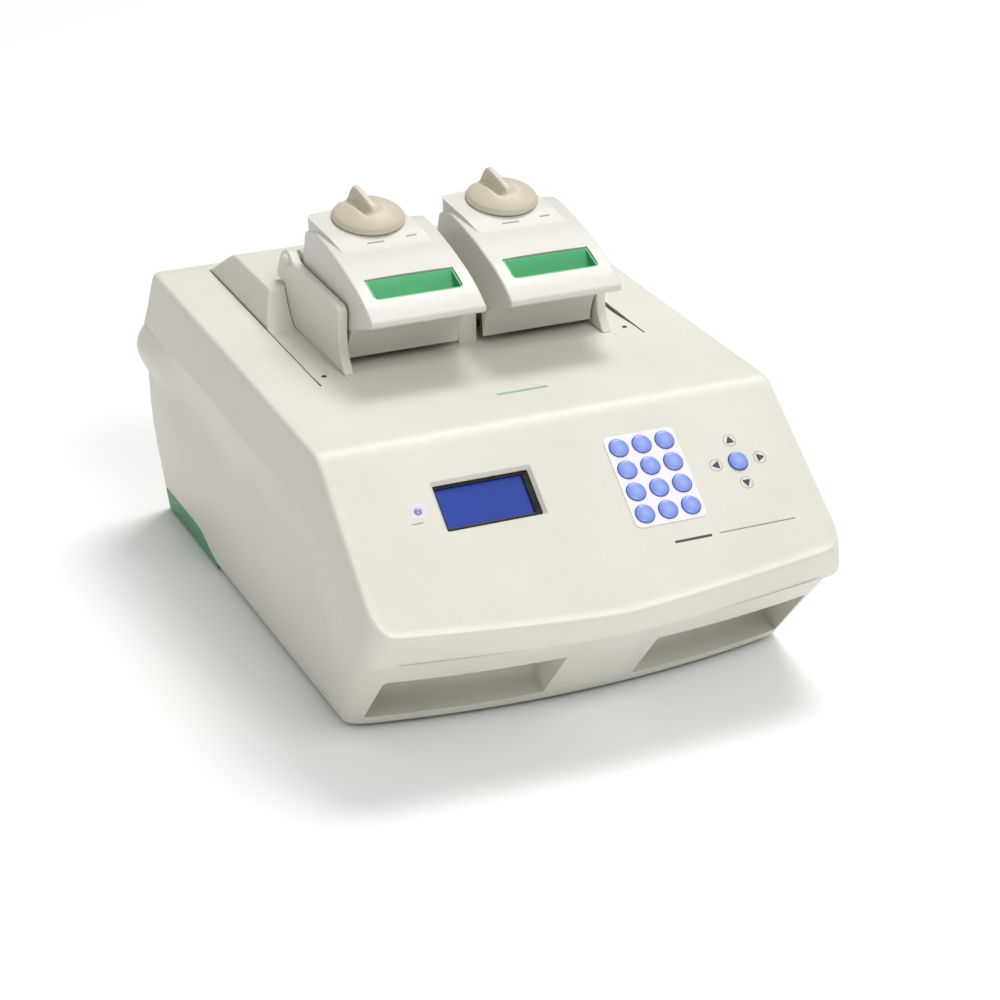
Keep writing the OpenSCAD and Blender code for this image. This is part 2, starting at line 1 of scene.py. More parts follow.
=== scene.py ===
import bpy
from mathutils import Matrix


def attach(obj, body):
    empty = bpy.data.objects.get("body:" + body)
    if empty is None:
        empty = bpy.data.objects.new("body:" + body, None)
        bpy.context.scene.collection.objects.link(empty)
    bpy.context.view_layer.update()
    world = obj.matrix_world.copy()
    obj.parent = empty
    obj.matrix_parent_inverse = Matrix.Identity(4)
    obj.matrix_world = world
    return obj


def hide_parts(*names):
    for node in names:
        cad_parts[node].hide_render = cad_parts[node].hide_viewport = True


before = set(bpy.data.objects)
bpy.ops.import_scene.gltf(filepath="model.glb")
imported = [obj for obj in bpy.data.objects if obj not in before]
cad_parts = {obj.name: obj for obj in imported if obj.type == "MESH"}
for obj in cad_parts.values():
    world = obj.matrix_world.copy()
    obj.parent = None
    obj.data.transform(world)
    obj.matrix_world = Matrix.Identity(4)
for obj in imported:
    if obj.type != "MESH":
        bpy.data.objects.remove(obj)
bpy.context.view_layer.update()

import math

import bmesh
import bpy
from mathutils import Matrix, Vector

MM = 0.001
SCENE = bpy.context.scene


# ---------------------------------------------------------------- numbers shared with the frame
BACK_Y, SKIN_Y = 230.0, 222.0
CREASE_X = 164.5
PANEL_Y, PANEL_Z, PANEL_DEG = -115.0, 176.0, 38.2
DECK_SLOPE = 10.0 / 345.0
THETA = math.radians(PANEL_DEG)
LIP_Z = 72.0
BAY_X, MODULE_X = 96.8, 117.0
HINGE = (100.0, 226.0)
LID_X = 48.6
WEDGE = math.atan(0.215)
KNOB_AT = (-1.0, 66.0, 262.4 - 16.0 * 0.215)
POCKET = (-12.0, 238.0, math.radians(21))

# places on the sloped panel: across it from the middle, and down it from its top edge
KEYPAD_U, KEYPAD_S, KEY_PITCH = 52.3, 33.0, 16.1
KEY_HOLE_R = 6.75
MIDDLE_KEY = (111.7, 57.2)
ARROW_RING_R = 15.7
LAMP_AT = (-105.8, 50.5)
DISPLAY = (-58.95, -50.55)
BLOCK_LAMP_X = 108.8

# the shoulder's lower edge from the side, front to rear: low at the lip, an S upwards, then nearly level
CREASE = [(-210, 72), (-197, 76), (-178, 91), (-154, 112), (-136, 126), (-106, 137), (-60, 140), (10, 141.5),
          (90, 146)]


def lerp(a, b, t):
    return a + (b - a) * t


def clamp(x, low, high):
    return max(low, min(high, x))


def ease(t):
    t = clamp(t, 0.0, 1.0)
    return t * t * (3 - 2 * t)


def table(points, x):
    """Straight-line reading of a table of (x, y) sorted by x."""
    if x <= points[0][0]:
        return points[0][1]
    for (x0, y0), (x1, y1) in zip(points, points[1:]):
        if x <= x1:
            return lerp(y0, y1, (x - x0) / (x1 - x0))
    return points[-1][1]


def soft_table(points, x, reach=9.0):
    """The table read as a moving average, which rounds its corners."""
    return sum(table(points, x + reach * k / 3) for k in range(-3, 4)) / 7


def bezier(a, b, c, t):
    return a * ((1 - t) * (1 - t)) + b * (2 * t * (1 - t)) + c * (t * t)


def span(a, b, n):
    return [lerp(a, b, k / n) for k in range(n + 1)]


def deck_z(y):
    return PANEL_Z + (y - PANEL_Y) * DECK_SLOPE


def top_z(y, soft=6.0):
    """Height of the deck and panel along y, with the fold between them rounded."""
    above = deck_z(y)
    below = PANEL_Z - (PANEL_Y - y) * math.tan(THETA)
    d = y - PANEL_Y
    if d > soft:
        return above
    if d < -soft:
        return below
    t = (d + soft) / (2 * soft)
    drop = (math.tan(THETA) - DECK_SLOPE) * soft
    return above - drop * (1 - t) ** 2


# ---------------------------------------------------------------- mesh building
class Shape:
    """Points in millimetres and the faces between them."""

    def __init__(self):
        self.points, self.faces = [], []

    def row(self, points):
        start = len(self.points)
        self.points += [tuple(p) for p in points]
        return list(range(start, len(self.points)))

    def bridge(self, a, b, closed=False):
        n = len(a)
        for i in range(n if closed else n - 1):
            j = (i + 1) % n
            self.faces.append((a[i], a[j], b[j], b[i]))

    def face(self, *indices):
        self.faces.append(tuple(indices))

    def loft(self, loops, caps=True, closed=True):
        rows = [self.row(loop) for loop in loops]
        for a, b in zip(rows, rows[1:]):
            self.bridge(a, b, closed)
        if caps:
            self.faces.append(tuple(reversed(rows[0])))
            self.faces.append(tuple(rows[-1]))
        return rows


def link(name, mesh):
    made = bpy.data.objects.new(name, mesh)
    SCENE.collection.objects.link(made)
    return made


def make(name, shape, material=None, matrix=None, weld=0.0):
    mesh = bpy.data.meshes.new(name)
    mesh.from_pydata([(x * MM, y * MM, z * MM) for x, y, z in shape.points], [], shape.faces)
    if matrix is not None:
        mesh.transform(matrix)
    build = bmesh.new()
    build.from_mesh(mesh)
    if weld:
        bmesh.ops.remove_doubles(build, verts=build.verts, dist=weld * MM)
    bmesh.ops.recalc_face_normals(build, faces=build.faces)
    build.to_mesh(mesh)
    build.free()
    if material is not None:
        mesh.materials.append(material)
    return link(name, mesh)


def freeze(piece):
    """Applies the piece's modifiers to its mesh."""
    bpy.context.view_layer.update()
    graph = bpy.context.evaluated_depsgraph_get()
    mesh = bpy.data.meshes.new_from_object(piece.evaluated_get(graph))
    old = piece.data
    piece.modifiers.clear()
    piece.data = mesh
    bpy.data.meshes.remove(old)
    return piece


def carve(piece, cutters, operation="DIFFERENCE"):
    for cutter in cutters:
        step = piece.modifiers.new("carve", "BOOLEAN")
        step.operation, step.solver, step.object = operation, "EXACT", cutter
    freeze(piece)
    for cutter in cutters:
        mesh = cutter.data
        bpy.data.objects.remove(cutter)
        bpy.data.meshes.remove(mesh)
    return piece


def bevel(piece, width, segments=3, angle=30):
    step = piece.modifiers.new("bevel", "BEVEL")
    step.width, step.segments, step.limit_method = width * MM, segments, "ANGLE"
    step.angle_limit, step.harden_normals = math.radians(angle), False
    step.use_clamp_overlap = True
    return freeze(piece)


def shade(piece, angle=32):
    """Smooth shading with edges sharper than the angle kept crisp, and flat faces kept flat."""
    build = bmesh.new()
    build.from_mesh(piece.data)
    bmesh.ops.dissolve_degenerate(build, dist=1e-6, edges=build.edges)
    build.to_mesh(piece.data)
    build.free()
    for polygon in piece.data.polygons:
        polygon.use_smooth = True
    piece.data.set_sharp_from_angle(angle=math.radians(angle))
    step = piece.modifiers.new("normals", "WEIGHTED_NORMAL")
    step.keep_sharp, step.weight = True, 60
    return piece


def place(piece, body, slot, *stands_for):
    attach(piece, body)
    if stands_for:
        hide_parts(*stands_for)
    return piece


def prism(outline, low, high, axis="z", matrix=None, name="cutter", material=None):
    """A flat outline drawn out along an axis. For x the outline is (y, z); for y it is (x, z)."""
    shape = Shape()
    put = {"x": lambda p, d: (d, p[0], p[1]), "y": lambda p, d: (p[0], d, p[1]),
           "z": lambda p, d: (p[0], p[1], d)}[axis]
    shape.loft([[put(p, low) for p in outline], [put(p, high) for p in outline]])
    return make(name, shape, material, matrix)


def block(x0, y0, z0, x1, y1, z1, matrix=None):
    return prism([(x0, y0), (x1, y0), (x1, y1), (x0, y1)], z0, z1, matrix=matrix)


def round_rect(w, h, r, n=6, cx=0.0, cy=0.0):
    points = []
    for k, (sx, sy) in enumerate(((1, 1), (-1, 1), (-1, -1), (1, -1))):
        for i in range(n + 1):
            a = math.radians(90 * k + 90 * i / n)
            middle = (cx + sx * (w / 2 - r), cy + sy * (h / 2 - r))
            points.append((middle[0] + r * math.cos(a), middle[1] + r * math.sin(a)))
    return points


def ring(r, z, n=48, cx=0.0, cy=0.0):
    turns = [2 * math.pi * k / n for k in range(n)]
    return [(cx + r * math.cos(a), cy + r * math.sin(a), z) for a in turns]


def arc(cx, cy, r, degrees):
    return [(cx + r * math.cos(math.radians(a)), cy + r * math.sin(math.radians(a))) for a in degrees]


def flat_ring(r, n, cx=0.0, cy=0.0):
    return [(x, y) for x, y, _ in ring(r, 0, n, cx, cy)]


def key_spots():
    """Centres of the twelve keys in the panel's own axes, row by row."""
    return [(KEYPAD_U + column * KEY_PITCH, -KEYPAD_S - row * KEY_PITCH)
            for row in range(4) for column in (-1, 0, 1)]


def arrow_spot(degrees):
    a = math.radians(degrees)
    return (MIDDLE_KEY[0] + ARROW_RING_R * math.cos(a), -MIDDLE_KEY[1] + ARROW_RING_R * math.sin(a))


def turned(profile, n=48):
    """A closed solid turned round Z from a profile of (radius, height) running from axis to axis."""
    shape = Shape()
    rows = [shape.row(ring(r, z, n)) for r, z in profile[1:-1]]
    for a, b in zip(rows, rows[1:]):
        shape.bridge(a, b, True)
    for (_, z), loop in ((profile[0], rows[0]), (profile[-1], rows[-1])):
        centre = shape.row([(0, 0, z)])[0]
        for i in range(n):
            shape.face(centre, loop[i], loop[(i + 1) % n])
    return shape


def frame_at(x, y, z, degrees_x=0.0, degrees_z=0.0):
    return (Matrix.Translation((x * MM, y * MM, z * MM)) @ Matrix.Rotation(math.radians(degrees_x), 4, "X")
            @ Matrix.Rotation(math.radians(degrees_z), 4, "Z"))


PANEL = frame_at(0, PANEL_Y, PANEL_Z, PANEL_DEG)


# ---------------------------------------------------------------- materials
PLASTIC_IOR = 1.46
GRAIN_HEIGHT = 0.00025


def srgb(r, g, b):
    def one(c):
        c /= 255.0
        return c / 12.92 if c <= 0.04045 else ((c + 0.055) / 1.055) ** 2.4
    return (one(r), one(g), one(b), 1.0)


def shift(colour, factor, warm=0.0):
    return (clamp(colour[0] * factor * (1 + warm), 0, 1), clamp(colour[1] * factor, 0, 1),
            clamp(colour[2] * factor * (1 - warm), 0, 1), 1.0)


def node(tree, kind, x, y, **values):
    made = tree.nodes.new(kind)
    made.location = (x, y)
    for key, value in values.items():
        if key in made.inputs:
            made.inputs[key].default_value = value
        else:
            setattr(made, key, value)
    return made


def finish(name, colour, rough=(0.38, 0.5), grain=1400.0, depth=0.12, patch=14.0, spread=0.03, metallic=0.0,
           coat=0.0, warm=0.008, brushed=None, speck=0.0):
    """A procedural finish: slow colour drift, fine mottle, uneven gloss and a moulded or brushed grain."""
    made = bpy.data.materials.new(name)
    made.use_nodes = True
    made.diffuse_color = colour
    tree = made.node_tree
    tree.nodes.clear()
    out = node(tree, "ShaderNodeOutputMaterial", 900, 0)
    shader = node(tree, "ShaderNodeBsdfPrincipled", 600, 0)
    tree.links.new(shader.outputs["BSDF"], out.inputs["Surface"])
    where = node(tree, "ShaderNodeTexCoord", -1000, 0)
    stretch = node(tree, "ShaderNodeMapping", -800, 0)
    if brushed:
        stretch.inputs["Scale"].default_value = brushed
    tree.links.new(where.outputs["Object"], stretch.inputs["Vector"])
    drift = node(tree, "ShaderNodeTexNoise", -550, 250, Scale=patch, Detail=3.0, Roughness=0.55)
    mottle = node(tree, "ShaderNodeTexNoise", -550, 0, Scale=grain * 0.18, Detail=2.0, Roughness=0.6)
    fine = node(tree, "ShaderNodeTexNoise", -550, -250, Scale=grain, Detail=4.0, Roughness=0.62)
    tree.links.new(where.outputs["Object"], drift.inputs["Vector"])
    tree.links.new(stretch.outputs["Vector"], mottle.inputs["Vector"])
    tree.links.new(stretch.outputs["Vector"], fine.inputs["Vector"])
    ramp = node(tree, "ShaderNodeValToRGB", -300, 250)
    ramp.color_ramp.elements[0].position, ramp.color_ramp.elements[1].position = 0.3, 0.7
    ramp.color_ramp.elements[0].color = shift(colour, 1 - spread, warm)
    ramp.color_ramp.elements[1].color = shift(colour, 1 + spread, -warm)
    tree.links.new(drift.outputs["Fac"], ramp.inputs["Fac"])
    tone = node(tree, "ShaderNodeValToRGB", -300, 0)
    tone.color_ramp.elements[0].position, tone.color_ramp.elements[1].position = 0.25, 0.75
    low, high = 1 - spread * 0.6 - speck, 1.0
    tone.color_ramp.elements[0].color = (low, low, low, 1)
    tone.color_ramp.elements[1].color = (high, high, high, 1)
    tree.links.new(mottle.outputs["Fac"], tone.inputs["Fac"])
    mixed = node(tree, "ShaderNodeMix", 0, 150, data_type="RGBA", blend_type="MULTIPLY")
    mixed.inputs[0].default_value = 1.0
    tree.links.new(ramp.outputs["Color"], mixed.inputs[6])
    tree.links.new(tone.outputs["Color"], mixed.inputs[7])
    tree.links.new(mixed.outputs[2], shader.inputs["Base Color"])
    gloss = node(tree, "ShaderNodeMapRange", 0, -100)
    gloss.inputs["To Min"].default_value, gloss.inputs["To Max"].default_value = rough
    gloss.inputs["From Min"].default_value, gloss.inputs["From Max"].default_value = 0.3, 0.7
    tree.links.new(mottle.outputs["Fac"], gloss.inputs["Value"])
    tree.links.new(gloss.outputs["Result"], shader.inputs["Roughness"])
    bump = node(tree, "ShaderNodeBump", 300, -250, Strength=depth, Distance=GRAIN_HEIGHT)
    tree.links.new(fine.outputs["Fac"], bump.inputs["Height"])
    tree.links.new(bump.outputs["Normal"], shader.inputs["Normal"])
    shader.inputs["Metallic"].default_value = metallic
    shader.inputs["IOR"].default_value = PLASTIC_IOR
    shader.inputs["Coat Weight"].default_value = coat
    shader.inputs["Coat Roughness"].default_value = 0.12
    return made


CREAM = finish("cream_abs", srgb(222, 219, 208))
WHITE = finish("white_abs", srgb(215, 213, 205), rough=(0.32, 0.44), warm=0.004)
TAN = finish("tan_abs", srgb(202, 193, 173), rough=(0.36, 0.5), warm=0.012)
GREEN = finish("latch_green", srgb(70, 178, 114), rough=(0.35, 0.48), spread=0.05)
BASE_GREEN = finish("base_green", srgb(84, 152, 108), rough=(0.42, 0.56), spread=0.05)
BLUE = finish("key_blue", srgb(112, 142, 226), rough=(0.22, 0.34), spread=0.05, grain=900, coat=0.25)
OVERLAY = finish("overlay_film", srgb(240, 236, 240), rough=(0.3, 0.4), grain=2600, depth=0.08, spread=0.015)
INK = finish("print_ink", srgb(70, 66, 92), rough=(0.4, 0.55), spread=0.08)
DARK_INK = finish("mark_ink", srgb(74, 72, 64), rough=(0.45, 0.6), spread=0.08)
PALE_GREEN = finish("mark_green", srgb(150, 188, 160), rough=(0.4, 0.5), spread=0.06)
BLACK = finish("black_frame", srgb(12, 12, 16), rough=(0.25, 0.4), spread=0.15)
DARK = finish("dark_plastic", srgb(42, 42, 40), rough=(0.45, 0.6), spread=0.1)
RUBBER = finish("rubber", srgb(30, 30, 30), rough=(0.7, 0.85), spread=0.12, grain=800, depth=0.3)
STEEL = finish("steel", srgb(176, 178, 180), rough=(0.22, 0.36), metallic=1.0, brushed=(0.06, 1, 1),
               grain=2500)
ALUMINIUM = finish("aluminium", srgb(200, 202, 206), rough=(0.3, 0.44), metallic=1.0, brushed=(0.08, 1, 1),
                   grain=2200)
BLOCK = finish("silver_block", srgb(214, 214, 210), rough=(0.26, 0.38), metallic=1.0, grain=3000, depth=0.1)
BOARD = finish("circuit_board", srgb(32, 92, 52), rough=(0.35, 0.5), spread=0.12, grain=500, speck=0.15)
CERAMIC = finish("ceramic", srgb(226, 226, 216), rough=(0.5, 0.62), spread=0.03)
LAMP = finish("lamp_lens", srgb(150, 146, 196), rough=(0.15, 0.25), coat=0.6, spread=0.06)
DEEP = finish("deep_grey", srgb(70, 74, 74), rough=(0.5, 0.64), spread=0.08)


def screen_finish():
    """Blue display glass: an evenly lit layer under a glossy coat."""
    made = finish("display_glass", srgb(38, 62, 146), rough=(0.16, 0.24), grain=3800, depth=0.02, spread=0.06,
                  coat=0.5)
    tree = made.node_tree
    shader = next(n for n in tree.nodes if n.type == "BSDF_PRINCIPLED")
    shader.inputs["Emission Color"].default_value = srgb(34, 58, 150)
    shader.inputs["Emission Strength"].default_value = 0.25
    return made


SCREEN = screen_finish()


# ---------------------------------------------------------------- camera, light and floor
# the camera stands off the front left corner: degrees turned to the right, dipped and rolled
CAMERA_AT = (-642, -1522, 806)
CAMERA_TURN, CAMERA_DIP, CAMERA_ROLL = 23.36, 24.02, 0.67


def camera():
    data = bpy.data.cameras.new("camera")
    made = bpy.data.objects.new("camera", data)
    SCENE.collection.objects.link(made)
    data.lens, data.sensor_width = 95.3, 36.0
    data.clip_start, data.clip_end = 0.05, 60.0
    turn, dip, roll = (math.radians(a) for a in (CAMERA_TURN, CAMERA_DIP, CAMERA_ROLL))
    facing = (Matrix.Rotation(-turn, 4, "Z") @ Matrix.Rotation(math.pi / 2 - dip, 4, "X")
              @ Matrix.Rotation(-roll, 4, "Z"))
    made.matrix_world = Matrix.Translation([c * MM for c in CAMERA_AT]) @ facing
    SCENE.camera = made


def area_light(name, place_at, target, size, power, colour=(1, 1, 1)):
    data = bpy.data.lights.new(name, "AREA")
    data.shape, data.size, data.size_y = "RECTANGLE", size[0], size[1]
    data.energy, data.color = power, colour
    made = bpy.data.objects.new(name, data)
    SCENE.collection.objects.link(made)
    made.location = place_at
    made.rotation_euler = (Vector(target) - Vector(place_at)).to_track_quat("-Z", "Y").to_euler()


def studio():
    SCENE.view_settings.view_transform = "Standard"
    SCENE.view_settings.look = "None"
    world = bpy.data.worlds.new("studio")
    SCENE.world = world
    world.use_nodes = True
    back = world.node_tree.nodes["Background"]
    back.inputs["Color"].default_value = (1.0, 1.0, 0.995, 1)
    back.inputs["Strength"].default_value = 0.44
    area_light("key_light", (1.7, 1.4, 4.5), (0.0, 0.0, 0.1), (2.0, 2.0), 138.0, (1.0, 0.995, 0.985))
    area_light("front_fill", (0.3, -2.4, 2.6), (0.0, 0.0, 0.1), (1.6, 1.2), 42.0)
    area_light("left_fill", (-1.5, 1.9, 0.9), (0.0, 0.1, 0.1), (0.8, 0.6), 2.0)
    shape = Shape()
    reach = 20000.0
    shape.face(*shape.row([(-reach, -reach, 0), (reach, -reach, 0), (reach, reach, 0), (-reach, reach, 0)]))
    pale = finish("studio_floor", srgb(251, 251, 251), rough=(0.6, 0.7), spread=0.003, depth=0.02, patch=3.0)
    floor = make("studio_floor", shape, pale)


camera()
studio()


# ---------------------------------------------------------------- the cover: deck, panel and shoulder skirt
RIM_DEPTHS = (11.0, 8.5, 6.0, 4.5, 2.5)


def bow_s(u):
    """How far down the panel its bottom edge lies, across the width."""
    return 146.6 - 13.6 * (abs(u) / 145) ** 1.3


def panel_point(u, s, rise=0.0):
    cosine, sine = math.cos(THETA), math.sin(THETA)
    return (u, PANEL_Y - s * cosine + rise * -sine, PANEL_Z - s * sine + rise * cosine)


def lip_y(x):
    return -228.6 + 18.6 * (abs(x) / 142) ** 1.53


def cover_stations():
    """Upper edge A and lower edge B of the cover's skirt, from rear right, round the front, to rear left."""
    side = []
    ys = span(SKIN_Y, 120, 5) + span(108, -90, 12)
    ys += [-98, -103, -107, -110, -112.5, -115, -117.5, -120, -123, -127, -132] + span(-138, -198, 14)
    for y in ys:
        a_x = table([(-214, 159.4), (PANEL_Y, 157.2), (60, 155.4), (230, 155)], y)
        side.append(((a_x, y, top_z(y)), (CREASE_X, y, soft_table(CREASE, y))))
    y_end, x_start = side[-1][0][1], side[-1][0][0]
    corner = []
    s_end = bow_s(146)
    end = panel_point(146, s_end)
    ctrl = panel_point(159.6, bow_s(158) - 1.0)
    count = 12
    for k in range(1, count + 1):
        t = k / count
        a = [bezier(p, q, r, t) for p, q, r in zip((x_start, y_end, top_z(y_end)), ctrl, end)]
        b_start = (CREASE_X, -198.0)
        b_x = bezier(b_start[0], 164.8, 142.0, t)
        b_y = bezier(b_start[1], -210.5, lip_y(142), t)
        b_z = lerp(soft_table(CREASE, -198), LIP_Z, ease(min(1, t * 1.6)))
        corner.append((tuple(a), (b_x, b_y, b_z)))
    front = []
    for k in range(1, 25):
        u = lerp(146, 0, k / 24)
        b_x = lerp(142, 0, k / 24)
        front.append((panel_point(u, bow_s(u)), (b_x, lip_y(b_x), LIP_Z)))
    half = side + corner + front
    mirrored = [tuple((-p[0], p[1], p[2]) for p in pair) for pair in reversed(half[:-1])]
    return half + mirrored


def surface_normal(p):
    """Outward normal of the deck or panel surface under a point."""
    d = p[1] - PANEL_Y
    slope = lerp(math.tan(THETA), DECK_SLOPE, clamp((d + 6) / 12, 0.0, 1.0))
    return Vector((0, -slope, 1)).normalized()


def make_cover():
    pairs = cover_stations()
    n = len(pairs)
    shape = Shape()
    rows = []
    for i, (a, b) in enumerate(pairs):
        a, b = Vector(a), Vector(b)
        before, after = Vector(pairs[max(i - 1, 0)][0]), Vector(pairs[min(i + 1, n - 1)][0])
        up = surface_normal(a)
        along = (after - before).normalized()
        inward = along.cross(up).normalized()
        if inward.dot(Vector((-a.x, 40 - a.y, 0))) < 0:
            inward = -inward
        front = clamp((-150.0 - a.y) / 60.0, 0.0, 1.0)
        on_panel = clamp((PANEL_Y - a.y) / 12.0, 0.0, 1.0)
        heights = [0.0, lerp(0.0, -0.1, on_panel), lerp(0.0, 0.12, on_panel),
                   lerp(0.0, lerp(0.3, 0.6, front), on_panel), lerp(-0.15, lerp(0.3, 0.95, front), on_panel)]
        strip = []
        for depth, height in zip(RIM_DEPTHS, heights):
            p = a + inward * depth + up * height
            if depth > 10.9:
                p = a + inward * depth
            strip.append(p)
        start = strip[-1]
        down = (b - a).normalized()
        drop = (b - a).length
        fold = min(lerp(3.6, 6.5, on_panel) * lerp(1.0, 0.62, front), drop * 0.45)
        land = a + down * fold
        knee = a + up * heights[-1] * 0.5
        for t in (0.25, 0.5, 0.75, 1.0):
            strip.append(Vector([bezier(p, q, r, t) for p, q, r in zip(start, knee, land)]))
        bulge = -inward * lerp(0.6, 1.0, front)
        for t in (0.35, 0.7):
            strip.append(land.lerp(b, t) + bulge * (1 - abs(2 * t - 1)))
        strip.append(b - down * 1.2 - inward * 0.1)
        strip.append(b - down * 0.35 + inward * 0.25)
        strip.append(b + inward * 1.1)
        strip.append(b + inward * 4.0 - down * 0.4)
        strip.append(a + inward * 6.5 + down * 5.0 - up * 0.5)
        strip.append(a + inward * 11.0 - up * 3.0)
        if i in (0, n - 1):
            for p in strip:
                p.y = SKIN_Y
        rows.append(shape.row(strip))
    for first, second in zip(rows, rows[1:]):
        shape.bridge(first, second)
    # outer and inner skins join matching stations left and right
    half = n // 2
    for column in (0, -1):
        for i in range(half):
            j = n - 1 - i
            if i + 1 < j - 1:
                shape.face(rows[i][column], rows[i + 1][column], rows[j - 1][column], rows[j][column])
            elif i + 1 == j - 1:
                shape.face(rows[i][column], rows[i + 1][column], rows[j][column])
    shape.faces.append(tuple(rows[0]) + tuple(reversed(rows[-1])))
    piece = make("cover_skin", shape, CREAM)
    strip_mid, strip_half = (BAY_X + MODULE_X) / 2, (MODULE_X - BAY_X) / 2
    cutters = [block(-BAY_X - 0.02, 36, 150, BAY_X + 0.02, 216.5, 206)]
    for side in (-1, 1):
        x = side * strip_mid
        cutters.append(block(x - strip_half, -16, 150, x + strip_half, 216.5, 206))
    window = (63.9, 32.3)
    cutters.append(prism(round_rect(*window, 1.2, cx=DISPLAY[0], cy=DISPLAY[1]), -12, 3, matrix=PANEL))
    cutters.append(prism_taper(DISPLAY, window, (68.4, 36.8), -2.4, 0.25, 1.2))
    holes = [flat_ring(KEY_HOLE_R, 32, *spot) for spot in key_spots()]
    holes.append(flat_ring(6.9, 32, MIDDLE_KEY[0], -MIDDLE_KEY[1]))
    holes += [flat_ring(4.4, 24, *arrow_spot(90 * turn)) for turn in range(4)]
    holes.append(flat_ring(2.9, 24, LAMP_AT[0], -LAMP_AT[1]))
    cutters += [prism(hole, -12, 4, matrix=PANEL) for hole in holes]
    carve(piece, cutters)
    shade(piece, 30)
    place(piece, "chassis", "cream", "top_cover")
    return piece


def prism_taper(centre, low_size, high_size, low, high, r):
    """A rounded frustum on the panel, wider at the top, that cuts a chamfer."""
    shape = Shape()
    grow = 1 + 3.0 / (high - low)
    top = [lerp(a, b, grow) for a, b in zip(low_size, high_size)]
    rims = ((low, round_rect(*low_size, r, cx=centre[0], cy=centre[1])),
            (high + 3.0, round_rect(*top, r + 1.5, cx=centre[0], cy=centre[1])))
    shape.loft([[(x, y, z) for x, y in outline] for z, outline in rims])
    return make("cutter", shape, matrix=PANEL)


make_cover()


# ---------------------------------------------------------------- the lower housing: walls, front and inlets
WALL_X = [(2, 154), (8, 155), (25, 157), (50, 160), (66, 162), (90, 163.2), (148, 163.6)]
VALLEY_Z = [(-200, 70), (-120, 76), (0, 98), (120, 110), (230, 112)]
CONE_Y = 469.0
# the upper edge of an air inlet from the pillar outwards, with its outer corner rounded
INLET_TOP = [(x, 54.8) for x in (31, 50, 80, 110, 140)] + [(143.5, 54.6), (145.2, 53.4), (146, 51.2)]


def wall_x(y, z):
    """Half width of the side wall: a long hollow under the shoulder, and a rounded lobe at the rear."""
    x = table(WALL_X, z)
    crease = soft_table(CREASE, y)
    valley = table(VALLEY_Z, y)
    d = (z - valley) / (22.0 if z > valley else 34.0)
    fade = ease((y + 165) / 90) * (1 - ease((y - 140) / 70)) * ease((crease - z) / 7.0)
    x -= 5.6 * math.exp(-d * d) * fade
    swell = ease((y - 150) / 60)
    if 112 < z < 148:
        t = (z - 112) / 36
        x += 7.2 * swell * math.sin(math.pi * t ** 1.25) ** 0.8
    return x


def cone_y(x, z):
    r = 634 + (z - 3) * 0.873
    return CONE_Y - math.sqrt(max(r * r - x * x, 1.0))


def corner_radius(z):
    return lerp(13.0, 21.0, clamp(z / 60, 0, 1))


def housing_point(f, z):
    """The outer wall at height z: f is 0-1 along the side, 1-2 round the corner, 2-3 to the middle."""
    r = corner_radius(z)
    probe = wall_x(-150, z)
    y_s = cone_y(probe - r, z) + r * 0.92
    if f <= 1:
        y = lerp(SKIN_Y, y_s, f)
        return (wall_x(y, z), y)
    x_e = probe - r * 1.05
    if f <= 2:
        t = f - 1
        x0 = wall_x(y_s, z)
        y_e = cone_y(x_e, z)
        corner_y = cone_y(x0, z) + 0.5
        return (bezier(x0, x0, x_e, t), bezier(y_s, corner_y, y_e, t))
    x = lerp(x_e, 0, f - 2)
    y = cone_y(x, z)
    return (x, y - 1.3 * (1 - ease((abs(x) - 17) / 3.0)) * ease((z - 8) / 4))


